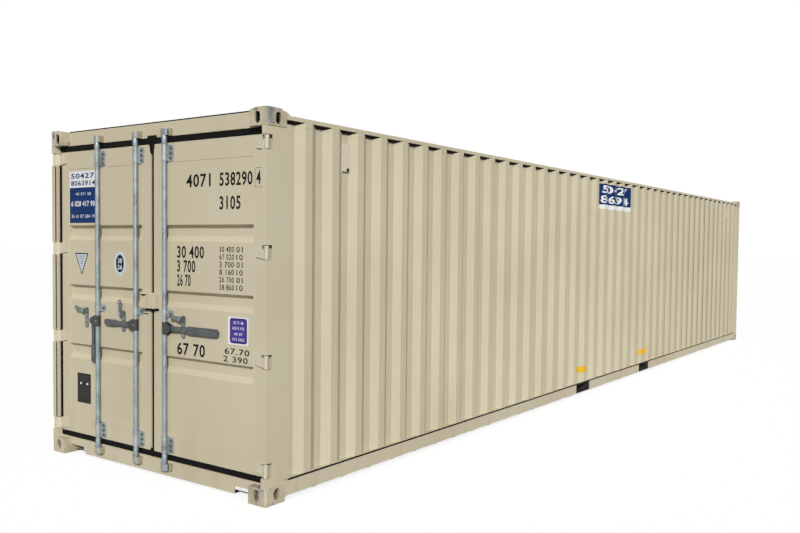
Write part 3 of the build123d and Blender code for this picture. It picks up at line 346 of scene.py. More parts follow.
def scuffed_casting(name):
    # Cast steel whose paint is knocked off where twistlocks and neighbours touch it
    finish = Finish(name)
    fading = finish.fade(finish.noise(7.0, detail=3.0), 0.35, 0.7)
    colour = finish.mix(fading, TAN, TAN_DIRTY)
    scuffs = finish.noise(26.0, stretch=(1.0, 1.0, 0.45), detail=6.0, roughness=0.68)
    edge = finish.noise(8.0, detail=3.0)
    bare = finish.fade(scuffs * 0.6 + edge * 0.4, 0.54, 0.58)
    rusty = finish.fade(scuffs * 0.6 + edge * 0.4, 0.585, 0.63)
    colour = finish.mix(bare, colour, GREY_STEEL)
    colour = finish.mix(rusty, colour, RUST)
    patch = worn_corner(finish) * finish.fade(scuffs, 0.34, 0.42)
    mottle = finish.noise(24.0, detail=4.0, roughness=0.6)
    bared = finish.mix(finish.fade(mottle, 0.42, 0.66), WORN_STEEL, WORN_DARK)
    colour = finish.mix(patch, colour, bared)
    # The painted shade in the hollows is lighter in the lower castings
    depth = finish.fade(finish.axis("Z"), 0.2, 2.4, 0.45, 1.0)
    colour = finish.mix(casting_hollow_shade(finish) * depth, colour, CASTING_HOLLOW_SHADE)
    relief = finish.noise(140.0, detail=4.0) * 0.0012 - bare * 0.0006
    return finish.feed(
        base_color=colour,
        roughness=finish.fade(bare, 0.0, 1.0, 0.55, 0.42),
        metallic=bare * (1 - rusty) * 0.4,
        normal=finish.bump(relief, 0.5),
    )


def underframe_coating(name):
    # Black protective coating, with dust and thin patches
    finish = Finish(name)
    dust = finish.fade(finish.noise(14.0, detail=5.0, roughness=0.6), 0.45, 0.8)
    colour = finish.mix(dust * 0.55, COATING, COATING_DUST)
    relief = finish.noise(70.0, detail=4.0) * 0.0012
    return finish.feed(base_color=colour, roughness=0.72, normal=finish.bump(relief, 0.5))


def zinc_coating(name, colour=ZINC, dull=ZINC_DULL, rough=0.36, darkened=None, edges=None):
    # Hot-dip zinc with its flowered grain, dulled in patches and stained at the joints
    finish = Finish(name)
    grain = finish.node(
        "ShaderNodeTexVoronoi", settings={"feature": "F1"},
        values={"Vector": finish.place, "Scale": 130.0}, output="Color",
    )
    flowers = finish.node("ShaderNodeRGBToBW", values={"Color": grain})
    dulling = finish.fade(finish.noise(11.0, detail=4.0), 0.40, 0.72)
    tone = finish.mix(dulling, colour, dull)
    tone = finish.mix(finish.fade(flowers, 0.2, 0.9, 0.0, 0.25), tone, ZINC_FLOWER)
    stain = finish.fade(finish.noise(34.0, detail=6.0, roughness=0.7), 0.66, 0.74)
    tone = finish.mix(stain * 0.7, tone, RUST)
    # Painted shade on the flank that the given mask marks
    if edges:
        tone = finish.mix(edges(finish), tone, BAR_FLANK_SHADE)
    # The given mask is coloured in the handles' dark steel
    if darkened:
        tone = finish.mix(darkened(finish), tone, HANDLE_GREY)
    relief = finish.noise(190.0, detail=3.0) * 0.0006
    return finish.feed(
        base_color=tone,
        metallic=0.5 - stain * 0.4,
        roughness=finish.fade(flowers, 0.0, 1.0, rough, rough + 0.2),
        normal=finish.bump(relief, 0.4),
    )


def hub_band(finish):
    # The hub at the middle of a lock bar is left in dark steel, as the handles are
    return abs(finish.axis("Z") - HANDLE_LINE) < HUB_BAND


def bar_flank_shade(finish):
    # Painted shade along the flank of each lock bar that lies away from the sun
    across = finish.axis("X")
    nearest = None
    for x, _ in BARS.values():
        away = abs(across - (x - 0.011))
        nearest = away if nearest is None else away.maths("MINIMUM", away, nearest)
    on_tube = abs(finish.axis("Z") - HEIGHT / 2) < 1.181
    return finish.fade(nearest, 0.0115, 0.0060) * on_tube


def seal_rubber(name):
    # Matt black rubber with a little dust
    finish = Finish(name)
    dust = finish.fade(finish.noise(30.0, detail=4.0), 0.5, 0.85)
    colour = finish.mix(dust * 0.3, RUBBER, RUBBER_DUST)
    relief = finish.noise(90.0, detail=2.0) * 0.0008
    return finish.feed(
        base_color=colour,
        roughness=0.62,
        specular_ior_level=0.04,
        normal=finish.bump(relief, 0.4),
    )


def floor_timber(name):
    # Plywood boards: grain that runs along the container, scuffs and dark tyre marks
    finish = Finish(name)
    grain = finish.noise(22.0, stretch=(1.0, 0.06, 1.0), detail=7.0, roughness=0.6)
    colour = finish.mix(finish.fade(grain, 0.3, 0.7), PLY_DARK, PLY_PALE)
    marks = finish.fade(finish.noise(3.0, stretch=(1.0, 0.25, 1.0), detail=5.0), 0.55, 0.75)
    colour = finish.mix(marks * 0.5, colour, TYRE_MARK)
    return finish.feed(
        base_color=colour,
        roughness=finish.fade(grain, 0.2, 0.8, 0.5, 0.75),
        normal=finish.bump(grain * 0.002, 0.4),
    )


def moulded_plastic(name):
    # Plastic that has faded unevenly, with a fine grain
    finish = Finish(name)
    fading = finish.fade(finish.noise(18.0, detail=3.0), 0.3, 0.7)
    colour = finish.mix(fading, PLASTIC, PLASTIC_FADED)
    relief = finish.noise(240.0, detail=2.0) * 0.0004
    return finish.feed(base_color=colour, roughness=0.5, normal=finish.bump(relief, 0.4))


def printed_film(name, colour, worn, rough=0.4):
    # Adhesive film and stencil paint, rubbed thin in places
    finish = Finish(name)
    rubbed = finish.fade(finish.noise(45.0, detail=5.0, roughness=0.65), 0.52, 0.82)
    relief = finish.noise(120.0, detail=2.0) * 0.0003
    return finish.feed(
        base_color=finish.mix(rubbed * 0.5, colour, worn),
        roughness=finish.fade(rubbed, 0.0, 1.0, rough, rough + 0.25),
        specular_ior_level=0.05,
        normal=finish.bump(relief, 0.3),
    )


PAINT = painted_steel("tan_paint_on_steel", wear=0.70, streaks=0.15)
WALL_PAINT = painted_steel("tan_paint_on_walls", wear=0.70, streaks=0.15, darkened=wall_groove_shade)
FRAME_PAINT = painted_steel("tan_paint_on_frame", wear=0.66, streaks=0.3)
FINISHES = {
    "tan_paint": PAINT,
    "casting_paint": scuffed_casting("tan_paint_on_castings"),
    "black_paint": underframe_coating("black_underframe_coating"),
    "galvanised_steel": zinc_coating("zinc_coating"),
    "dark_steel": zinc_coating("handle_steel", HANDLE_GREY, HANDLE_DULL, 0.40),
    "rubber_seal": seal_rubber("door_seal_rubber"),
    "plywood": floor_timber("plywood_floor"),
    "vent_plastic": moulded_plastic("vent_cover_plastic"),
}

# Films and prints: name, colour, colour where they are rubbed, and roughness
STENCIL = printed_film("stencil_paint", SOOT, (0.05, 0.045, 0.035, 1), 0.5)
WHITE_FILM = printed_film("white_film", (0.74, 0.75, 0.76, 1), (0.55, 0.54, 0.50, 1))
BLUE_FILM = printed_film("blue_film", (0.006, 0.030, 0.130, 1), (0.015, 0.050, 0.170, 1))
PURPLE_FILM = printed_film("purple_film", (0.075, 0.045, 0.290, 1), (0.10, 0.075, 0.33, 1))
PURPLE_EDGE = printed_film("purple_edge", (0.025, 0.012, 0.120, 1), (0.04, 0.03, 0.15, 1))
PALE_BLUE_FILM = printed_film("pale_blue_film", (0.58, 0.64, 0.70, 1), (0.50, 0.55, 0.58, 1))
GREY_PRINT = printed_film("grey_print", (0.24, 0.27, 0.32, 1), (0.34, 0.36, 0.38, 1))
YELLOW_FILM = printed_film("yellow_film", (0.78, 0.46, 0.02, 1), (0.60, 0.40, 0.10, 1))
PLATE = printed_film("data_plate_enamel", (0.030, 0.028, 0.026, 1), (0.12, 0.11, 0.10, 1))
# Painted shade in openings and recesses
SHADOW_GAP = printed_film("painted_shadow_gap", (0.006, 0.006, 0.006, 1), (0.02, 0.02, 0.02, 1), 0.8)
# Painted shadow in the door posts' grooves, and print on the data plate
GROOVE_SHADE_AND_PRINT = printed_film("groove_shade_and_print", (0.070, 0.066, 0.045, 1), (0.16, 0.14, 0.10, 1), 0.8)

# Finishes of single nodes
BAR_ZINC = zinc_coating("lock_bar_zinc", darkened=hub_band, edges=bar_flank_shade)
SLEEVE_ZINC = zinc_coating("sleeve_zinc", edges=bar_flank_shade)
BRACKET_ZINC = zinc_coating("bracket_zinc", SADDLE_ZINC, SADDLE_DULL, 0.45)
ARM_STEEL = zinc_coating("arm_steel", ARM_GREY, ARM_DULL, 0.40)
SILL_PAINT = painted_steel("tan_paint_on_sill", wear=0.66, streaks=0.3, darkened=behind_sill)
KEEPER_PAINT = painted_steel("tan_paint_on_keepers", wear=0.55, streaks=1.6, darkened=keeper_flanks)
HINGE_PAINT = hinge_forging("tan_paint_on_hinges")


# Making pieces

def deselect():
    bpy.ops.object.select_all(action="DESELECT")


def settle(piece, name):
    # Takes the piece's place, turn and scale into its mesh, and names it
    bpy.ops.object.transform_apply(location=True, rotation=True, scale=True)
    piece.name = name
    piece.data.name = name
    return piece


def add_modifier(piece, kind, **settings):
    modifier = piece.modifiers.new(kind.lower(), kind)
    for key, value in settings.items():
        setattr(modifier, key, value)
    bpy.context.view_layer.objects.active = piece
    bpy.ops.object.modifier_apply(modifier=modifier.name)


def plate(name, low, high, bevel=0.0):
    # A box between two corners
    deselect()
    centre = [(a + b) / 2 for a, b in zip(low, high)]
    bpy.ops.mesh.primitive_cube_add(size=1, location=centre)
    piece = bpy.context.object
    piece.scale = [b - a for a, b in zip(low, high)]
    settle(piece, name)
    if bevel:
        add_modifier(piece, "BEVEL", width=bevel, segments=2, limit_method="NONE")
    return piece


def rounded_plate(name, low, high, corner, face):
    # A thin plate on the doors with round corners: only its upright corners are bevelled
    piece = plate(name, (low[0], face - FILM, low[1]), (high[0], face, high[1]))
    bpy.ops.object.mode_set(mode="EDIT")
    bpy.ops.mesh.select_all(action="DESELECT")
    bpy.ops.object.mode_set(mode="OBJECT")
    for edge in piece.data.edges:
        ends = [piece.data.vertices[index].co for index in edge.vertices]
        edge.select = abs(ends[0].y - ends[1].y) > FILM / 2
    bpy.ops.object.mode_set(mode="EDIT")
    bpy.ops.mesh.select_mode(type="EDGE")
    bpy.ops.mesh.bevel(offset=corner, segments=5, affect="EDGES")
    bpy.ops.object.mode_set(mode="OBJECT")
    return piece


def round_bar(name, centre, radius, depth, axis="Y", vertices=24, bevel=0.0):
    # A cylinder that lies along an axis
    deselect()
    bpy.ops.mesh.primitive_cone_add(
        vertices=vertices, radius1=radius, radius2=radius,
        depth=depth, location=centre, rotation=TURNS[axis],
    )
    piece = settle(bpy.context.object, name)
    if bevel:
        add_modifier(piece, "BEVEL", width=bevel, segments=2, limit_method="ANGLE")
    bpy.ops.object.shade_smooth_by_angle(angle=math.radians(35))
    return piece


def cut_sheet(name, corners, face, thickness):
    # A flat sheet cut to an outline on the plane of X and Z, with its outer face at y = face
    deselect()
    bpy.ops.mesh.primitive_circle_add(vertices=len(corners), fill_type="NGON")
    piece = bpy.context.object
    for vertex, (x, z) in zip(piece.data.vertices, corners):
        vertex.co = (x, face, z)
    settle(piece, name)
    add_modifier(piece, "SOLIDIFY", thickness=thickness, offset=0.0)
    bpy.ops.object.mode_set(mode="EDIT")
    bpy.ops.mesh.select_all(action="SELECT")
    bpy.ops.mesh.normals_make_consistent(inside=False)
    bpy.ops.object.mode_set(mode="OBJECT")
    for vertex in piece.data.vertices:
        vertex.co.y = face if vertex.co.y < face else face + thickness
    return piece


def ring(name, centre, radius, thickness):
    # A ring that lies flat against the doors
    deselect()
    bpy.ops.mesh.primitive_torus_add(
        major_radius=radius, minor_radius=thickness, major_segments=28,
        minor_segments=10, location=centre, rotation=TURNS["Y"],
    )
    piece = settle(bpy.context.object, name)
    bpy.ops.object.shade_smooth_by_angle(angle=math.radians(60))
    return piece


def join(pieces, name):
    deselect()
    for piece in pieces:
        piece.select_set(True)
    bpy.context.view_layer.objects.active = pieces[0]
    if len(pieces) > 1:
        bpy.ops.object.join()
    joined = bpy.context.object
    joined.name = name
    joined.data.name = name
    return joined


def fit(piece, material, body):
    # Gives a finished piece its material and the body that it moves with
    piece.data.materials.clear()
    piece.data.materials.append(material)
    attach(piece, body)


def mirrored(sign, *places):
    # The same places on either half of the container, told by 1 or -1, in rising order
    return sorted(sign * place for place in places)


def number(text, left, right, bottom, top, weight=0.022):
    # Figures with a stencil's narrow shape, flat on the plane of X and Z, facing the doors' outside
    deselect()
    bpy.ops.object.text_add()
    words = bpy.context.object
    words.data.body = text
    words.data.extrude = FILM / 2
    words.data.offset = weight
    words.data.space_character = 1.12
    words.data.resolution_u = 3
    bpy.ops.object.convert(target="MESH")
    words = bpy.context.object
    xs = [v.co.x for v in words.data.vertices]
    ys = [v.co.y for v in words.data.vertices]
    wide = (right - left) / (max(xs) - min(xs))
    tall = (top - bottom) / (max(ys) - min(ys))
    for vertex in words.data.vertices:
        x, y, z = vertex.co
        vertex.co = (left + (x - min(xs)) * wide, -z, bottom + (y - min(ys)) * tall)
    return words


def on_door(piece, face):
    # Moves a flat piece from y = 0 to a face of the doors
    for vertex in piece.data.vertices:
        vertex.co.y += face
    return piece


def wall_x(y):
    # How far out the corrugated wall's face lies at a place along it
    away = abs((y / WALL_PITCH) % 1 - 0.5) * WALL_PITCH
    share = min(max((away - WALL_RIDGE_HALF) / WALL_SLOPE, 0), 1)
    return WALL_OUTER - WALL_DEPTH * share


def cut_at(y):
    # Cuts the active piece across at a place along the container
    bpy.ops.object.mode_set(mode="EDIT")
    bpy.ops.mesh.select_all(action="SELECT")
    bpy.ops.mesh.bisect(plane_co=(0, y, 0), plane_no=(0, 1, 0))
    bpy.ops.object.mode_set(mode="OBJECT")


def wrap_on_wall(piece, lift):
    # Cuts a flat piece where the corrugated wall bends, and lays it on the wall
    ys = [v.co.y for v in piece.data.vertices]
    first = math.floor(min(ys) / WALL_PITCH)
    last = math.ceil(max(ys) / WALL_PITCH)
    deselect()
    piece.select_set(True)
    bpy.context.view_layer.objects.active = piece
    for index in range(first, last + 1):
        ridge = (index + 0.5) * WALL_PITCH
        for bend in (WALL_RIDGE_HALF, WALL_RIDGE_HALF + WALL_SLOPE):
            for y in (ridge - bend, ridge + bend):
                if min(ys) < y < max(ys):
                    cut_at(y)
    for vertex in piece.data.vertices:
        vertex.co.x += wall_x(vertex.co.y) + lift
    return piece


def wall_label(name, low, high, lift=FILM):
    # A film on the right wall between two corners, each told by its place along and its height
    piece = plate(name, (0, low[0], low[1]), (FILM, high[0], high[1]))
    return wrap_on_wall(piece, lift - FILM)


def wall_number(text, low, high):
    # Figures on the right wall, on top of a label
    words = number(text, low[0], high[0], low[1], high[1])
    for vertex in words.data.vertices:
        x, y, z = vertex.co
        vertex.co = (-y, x, z)
    return wrap_on_wall(words, 2 * FILM)


# Finishes of the part's own nodes

SLOT_OF = {part["node"]: part["material_slot"] for part in frame["record"]["subparts"]}
FRAMED = (
    "door_post_right", "door_post_left", "front_posts", "door_header", "front_top_rail",
    "front_bottom_rail", "top_side_rails", "bottom_side_rails",
    "right_door_frame", "left_door_frame", "right_door_lock_box", "left_door_lock_box",
)
OWN_FINISH = {
    "right_door_hinges": HINGE_PAINT,
    "left_door_hinges": HINGE_PAINT,
    "lock_bar_1": BAR_ZINC,
    "lock_bar_2": BAR_ZINC,
    "lock_bar_3": BAR_ZINC,
    "catch_arm_1": ARM_STEEL,
    "catch_arm_2": ARM_STEEL,
    "catch_arm_3": ARM_STEEL,
    "left_door_handle_catches": ARM_STEEL,
    "right_door_handle_catches": ARM_STEEL,
    "left_door_bar_brackets": BRACKET_ZINC,
    "right_door_bar_brackets": BRACKET_ZINC,
    "door_sill": SILL_PAINT,
    "side_wall_right": WALL_PAINT,
    "side_wall_left": WALL_PAINT,
    "cam_keepers": KEEPER_PAINT,
}
for node, piece in NODES.items():
    finish = FRAME_PAINT if node in FRAMED else OWN_FINISH.get(node, FINISHES[SLOT_OF[node]])
    piece.data.materials.clear()
    piece.data.materials.append(finish)


# Figures and labels on the right leaf

# Text, left, right, bottom, top and, on thinner figures, how much the strokes are thickened
DOOR_FIGURES = (
    ("4071", 0.374, 0.628, 2.098, 2.191),
    ("538290", 0.716, 1.035, 2.098, 2.191),
    ("3105", 0.716, 0.922, 1.940, 2.032),
    ("30 400", 0.275, 0.560, 1.604, 1.690),
    ("3 700", 0.275, 0.470, 1.504, 1.590),
    ("26 70", 0.275, 0.420, 1.404, 1.490),
    ("67 70", 0.275, 0.571, 0.915, 1.005),
    ("67.70", 0.770, 1.010, 0.962, 1.004, 0.012),
    ("2 390", 0.758, 0.995, 0.909, 0.950, 0.012),
)

# The column of small figures, and the short ones beside it
SMALL_FIGURES = ("30 400", "67 020", "3 700", "8 160", "26 700", "58 860")
SMALL_ENDS = (0.717, 0.860)
UNIT_ENDS = (0.884, 0.944)
SMALL_TOP = 1.690
SMALL_PITCH = 0.0515
SMALL_HEIGHT = 0.038
SMALL_WEIGHT = 0.008


def right_leaf_figures():
    figures = [number(*row) for row in DOOR_FIGURES]
    for line, text in enumerate(SMALL_FIGURES):
        top = SMALL_TOP - line * SMALL_PITCH
        low = top - SMALL_HEIGHT
        unit = "10" if line % 2 else "01"
        figures.append(number(text, *SMALL_ENDS, low, top, SMALL_WEIGHT))
        figures.append(number(unit, *UNIT_ENDS, low, top, SMALL_WEIGHT))
    piece = on_door(join(figures, "right_door_figures"), PANEL_FACE - FILM / 2)
    fit(piece, STENCIL, "right_door")


def boxed_figure():
    # One figure in a frame of four lines
    left, right, low, high = 1.060, 1.125, 2.082, 2.209
    line = 0.002
    frame_lines = (
        (left, low, right, low + line),
        (left, high - line, right, high),
        (left, low, left + line, high),
        (right - line, low, right, high),
    )
    parts = [number("4", 1.071, 1.112, 2.102, 2.189)]
    for x1, z1, x2, z2 in frame_lines:
        parts.append(plate("line", (x1, -FILM / 2, z1), (x2, FILM / 2, z2)))
    piece = on_door(join(parts, "right_door_check_figure"), LEAF_FACE - FILM / 2)
    fit(piece, STENCIL, "right_door")


# Text, width and top of each row of the purple label
LABEL_MIDDLE = 0.905
LABEL_ROWS = (
    ("20 71 48", 0.096, 1.190),
    ("635 0 192", 0.112, 1.153),
    ("40 87", 0.084, 1.114),
    ("915 3062", 0.116, 1.078),
)


def right_leaf_label():
    # Name, corners, radius and finish of each layer, from the door outwards
    layers = (
        ("right_door_label", (0.810, 1.031), (0.998, 1.223), 0.004, WHITE_FILM),
        ("right_door_label_edge", (0.823, 1.041), (0.987, 1.210), 0.018, PURPLE_EDGE),
        ("right_door_label_field", (0.831, 1.049), (0.979, 1.202), 0.013, PURPLE_FILM),
    )
    for layer, (name, low, high, corner, film) in enumerate(layers):
        fit(rounded_plate(name, low, high, corner, PANEL_FACE - layer * FILM), film, "right_door")
    lines = []
    for text, width, top in LABEL_ROWS:
        left = LABEL_MIDDLE - width / 2
        lines.append(number(text, left, left + width, top - 0.020, top, 0.01))
    piece = on_door(join(lines, "right_door_label_figures"), PANEL_FACE - 3.5 * FILM)
    fit(piece, WHITE_FILM, "right_door")


# Labels on the left leaf

def left_leaf_labels():
    # A white field over a blue one, each with figures in the other's colour
    left, right = -1.044, -0.692
    bottom, middle, top = 1.858, 2.137, 2.266
    upper = rounded_plate("left_door_label", (left, middle), (right, top), 0.003, PANEL_FACE)
    fit(upper, WHITE_FILM, "left_door")
    lower = rounded_plate("left_door_label_field", (left, bottom), (right, middle), 0.003, PANEL_FACE)
    fit(lower, BLUE_FILM, "left_door")
    dark = [
        number("50427", -1.026, -0.716, 2.208, 2.250),
        number("8063914", -1.026, -0.704, 2.152, 2.192),
    ]
    piece = on_door(join(dark, "left_door_label_dark_figures"), PANEL_FACE - 1.5 * FILM)
    fit(piece, BLUE_FILM, "left_door")
    pale = [
        number("40 271 58", -0.964, -0.760, 2.076, 2.098, 0.0),
        number("6 028 417 90", -1.022, -0.711, 1.988, 2.032),
        number("35 61 07 284 19", -1.022, -0.711, 1.898, 1.924, 0.0),
    ]
    piece = on_door(join(pale, "left_door_label_pale_figures"), PANEL_FACE - 1.5 * FILM)
    fit(piece, WHITE_FILM, "left_door")


def oval_plate(name, centre, half_width, half_height, layer):
    # A thin oval on the left leaf, as many films in front of it as its layer says
    x, z = centre
    piece = round_bar(name, (x, PANEL_FACE - (layer + 0.5) * FILM, z), half_width, FILM, vertices=40)
    for vertex in piece.data.vertices:
        vertex.co.z = z + (vertex.co.z - z) * half_height / half_width
    return piece


def triangle_sign():
    # A pale triangle that points down, with plain rows that grow shorter
    middle = -0.8845
    corners = ((-0.974, 1.620), (-0.795, 1.620), (middle, 1.447))
    border = cut_sheet("left_door_triangle", corners, PANEL_FACE - FILM, FILM)
    fit(border, STENCIL, "left_door")
    inner = ((-0.958, 1.611), (-0.811, 1.611), (middle, 1.467))
    field = cut_sheet("left_door_triangle_field", inner, PANEL_FACE - 2 * FILM, FILM)
    fit(field, PALE_BLUE_FILM, "left_door")
    back, front = PANEL_FACE - 2 * FILM, PANEL_FACE - 3 * FILM
    rows = []
    for step in range(5):
        half = 0.046 - step * 0.0085
        low = 1.592 - step * 0.019
        rows.append(plate("row", (middle - half, front, low), (middle + half, back, low + 0.008)))
    fit(join(rows, "left_door_triangle_rows"), GREY_PRINT, "left_door")


def oval_sign():
    # An oval seal with plain figures in its dark field
    centre = (-0.391, 1.548)
    fit(oval_plate("left_door_oval", centre, 0.070, 0.093, 0), PALE_BLUE_FILM, "left_door")
    fit(oval_plate("left_door_oval_field", centre, 0.048, 0.067, 1), STENCIL, "left_door")
    figures = [
        number("38", -0.414, -0.366, 1.550, 1.588, 0.03),
        number("26", -0.420, -0.362, 1.502, 1.540, 0.03),
    ]
    piece = on_door(join(figures, "left_door_oval_figures"), PANEL_FACE - 2.5 * FILM)
    fit(piece, PALE_BLUE_FILM, "left_door")


def left_leaf_data_plate():
    # An enamelled plate with pale lines in place of its text, held by two rivets
    base = rounded_plate("left_door_data_plate", (-0.948, 0.428), (-0.771, 0.664), 0.006, PANEL_FACE)
    for vertex in base.data.vertices:
        if vertex.co.y < PANEL_FACE - FILM / 2:
            vertex.co.y -= 0.0015
    fit(base, PLATE, "left_door")
    rows = [
        plate("row", (-0.925, PANEL_FACE - 0.0026, z), (-0.794, PANEL_FACE - 0.0019, z + 0.004))
        for z in (0.638, 0.622, 0.606, 0.556, 0.540, 0.524, 0.508, 0.492, 0.476, 0.460)
    ]
    fit(join(rows, "left_door_data_plate_rows"), GROOVE_SHADE_AND_PRINT, "left_door")
    rivets = [
        round_bar("rivet", (x, PANEL_FACE - 0.004, 0.583), 0.010, 0.005, bevel=0.002)
        for x in (-0.898, -0.812)
    ]
    fit(join(rivets, "left_door_data_plate_rivets"), WHITE_FILM, "left_door")


# Labels on the right side wall

def wall_labels():
    # A blue label with a white strip below, and yellow films over the fork pockets and at the far end
    near, far = -0.571, 0.400
    bottom, middle, top = 2.175, 2.228, 2.480
    fit(wall_label("side_wall_label", (near, middle), (far, top)), BLUE_FILM, "container")
    fit(wall_label("side_wall_label_foot", (near, bottom), (far, middle)), WHITE_FILM, "container")
    figures = [
        wall_number("50427", (-0.500, 2.368), (0.330, 2.462)),
        wall_number("8063914", (-0.520, 2.246), (0.350, 2.342)),
    ]
    fit(join(figures, "side_wall_label_figures"), WHITE_FILM, "container")
    yellow = []
    for pocket in (-1.025, 1.025):
        low, high = (pocket - 0.148, 0.256), (pocket + 0.148, 0.326)
        yellow.append(wall_label("yellow", low, high))
    yellow.append(wall_label("yellow", (5.480, 1.476), (5.540, 1.680)))
    fit(join(yellow, "side_wall_yellow_labels"), YELLOW_FILM, "container")


# Small fasteners

def washer_bolt(x, face, z):
    # A hexagonal head on its washer, which lies on the face
    washer = round_bar("washer", (x, face - 0.001, z), 0.014, 0.002, vertices=20, bevel=0.0005)
    head = round_bar("bolt", (x, face - 0.006, z), 0.011, 0.008, vertices=6, bevel=0.0012)
    return washer, head


def bracket_bolts():
    # Three bolts hold each bracket of a bar, and one its guide above the handle; the heads' dark steel
    # is also painted shadow round them
    made = {"left_door": [], "right_door": []}
    for index, (x, _) in BARS.items():
        pairs = made[LEAF_OF[index]]
        for foot in BRACKET_FEET:
            for above in BRACKET_BOLTS:
                pairs.append(washer_bolt(x + BOLT_FROM_BAR, BRACKET_FACE, foot + above))
        pairs.append(washer_bolt(x + BOLT_FROM_BAR, GUIDE_FACE, GUIDE_BOLT))
    for body, pairs in made.items():
        washers, bolts = zip(*pairs)
        fit(join(washers, f"{body}_bracket_washers"), FINISHES["galvanised_steel"], body)
        fit(join(bolts, f"{body}_bracket_bolts"), FINISHES["dark_steel"], body)


def tube_band(name, x, low, high, radius, bevel):
    # A band round the tube of a lock bar
    middle = (x, BAR_LINE, (low + high) / 2)
    return round_bar(name, middle, radius, high - low, axis="Z", vertices=32, bevel=bevel)


def bar_sleeves():
    # Each tube ends in a forged sleeve above or below its cam, pinned through by a rivet
    for index, (x, side) in BARS.items():
        pieces = []
        for low, high, pin in SLEEVES:
            pieces.append(tube_band("sleeve", x, low, high, 0.020, 0.002))
            pieces.append(round_bar("rivet", (x, BAR_LINE - 0.0205, pin), 0.007, 0.005, bevel=0.002))
        hub = (x - side * 0.002, BAR_LINE - 0.0195, HANDLE_LINE)
        pieces.append(round_bar("rivet", hub, 0.007, 0.005, bevel=0.002))
        for band in COLLARS:
            pieces.append(tube_band("collar", x, band - 0.004, band + 0.004, 0.0195, 0.0015))
        fit(join(pieces, f"lock_bar_{index}_sleeves"), SLEEVE_ZINC, f"lock_bar_{index}")


def catch_rivets():
    # A ring, two rivets on the catch's plate and one that carries its arm
    made = {"left_door": [], "right_door": []}
    for index, x in CATCHES.items():
        pieces = made[LEAF_OF[index]]
        pieces.append(ring("ring", (x, CATCH_FACE - 0.003, 1.056), 0.011, 0.003))
        for z in (1.092, 1.132):
            pieces.append(round_bar("rivet", (x, CATCH_FACE - 0.0015, z), 0.008, 0.004, bevel=0.0015))
        pieces.append(round_bar("arm_rivet", (x, ARM_FACE - 0.0025, 1.172), 0.012, 0.005, bevel=0.0018))
    for body, rivets in made.items():
        fit(join(rivets, f"{body}_catch_rivets"), FINISHES["galvanised_steel"], body)


def hinge_pin_heads():
    # A washer above and below the lugs of each hinge
    washers = []
    for side in (1, -1):
        for height in HINGE_HEIGHTS:
            for z in (height - HINGE_LUG, height + HINGE_LUG):
                centre = (side * HINGE_PIN_X, HINGE_PIN_Y, z)
                washer = round_bar("pin", centre, 0.010, 0.003, axis="Z", vertices=20, bevel=0.0008)
                washers.append(washer)
    fit(join(washers, "hinge_pin_washers"), FINISHES["galvanised_steel"], "container")


def lock_box_details():
    # Painted shade: a dark film in the box's mouth, which sags like a crescent, and one for a slot in
    # the leaf below it
    sag = 0.014
    left, right = -0.078, -0.003
    edge = 1.3345
    steps = 8
    mouth = [(right, edge), (left, edge)]
    for step in range(1, steps):
        share = step / steps
        mouth.append((left + (right - left) * share, edge - sag * math.sin(math.pi * share)))
    recess = cut_sheet("left_door_lock_box_mouth_shade", mouth, BOX_FACE - FILM, FILM)
    fit(recess, SHADOW_GAP, "left_door")
    slot = rounded_plate("left_door_slot_shade", (-0.094, 1.182), (-0.045, 1.190), 0.003, LEAF_FACE)
    fit(slot, SHADOW_GAP, "left_door")


def weld(centre, length, axis="X", radius=0.003):
    # A thin bead, half sunk in the steel
    return round_bar("bead", centre, radius, length, axis=axis, vertices=8)


def leaf_welds():
    # Weld beads where the panel meets the leaf's frame
    for body, side in LEAVES:
        beads = []
        for x in (0.118, 1.050):
            beads.append(weld((side * x, PANEL_FACE, 1.310), 1.956, axis="Z"))
        for z in (0.332, 2.288):
            beads.append(weld((side * 0.584, PANEL_FACE, z), 0.930))
        fit(join(beads, f"{body}_welds"), FRAME_PAINT, body)


def beam_welds():
    # Weld beads round the keepers' bases, and between castings, posts and beams
    beads = []
    for x, side in BARS.values():
        near, far = x - side * 0.038, x + side * 0.052
        for z in (0.064, 0.114, 2.474, 2.524):
            beads.append(weld(((near + far) / 2, BEAM_FACE, z), abs(far - near)))
    for side in (1, -1):
        for z in (0.118, 2.473):
            beads.append(weld((side * 1.193, POST_FACE, z), 0.042, radius=0.0025))
    fit(join(beads, "door_beam_welds"), FRAME_PAINT, "container")


def seam_rubber():
    # Rubber flaps cover the head and the foot of the seam, half of each on either leaf
    head = (
        (0.001, 2.487), (0.001, 2.360), (0.017, 2.360),
        (0.029, 2.425), (0.050, 2.440), (0.050, 2.487),
    )
    foot = (
        (0.001, 0.200), (0.001, 0.138), (0.012, 0.138),
        (0.022, 0.152), (0.022, 0.178), (0.014, 0.200),
    )
    for body, side in LEAVES:
        halves = []
        for outline in (head, foot):
            corners = [(side * x, z) for x, z in outline]
            halves.append(cut_sheet("flap", corners, FLAP_FACE, 0.004))
        fit(join(halves, f"{body}_seam_flaps"), FINISHES["rubber_seal"], body)


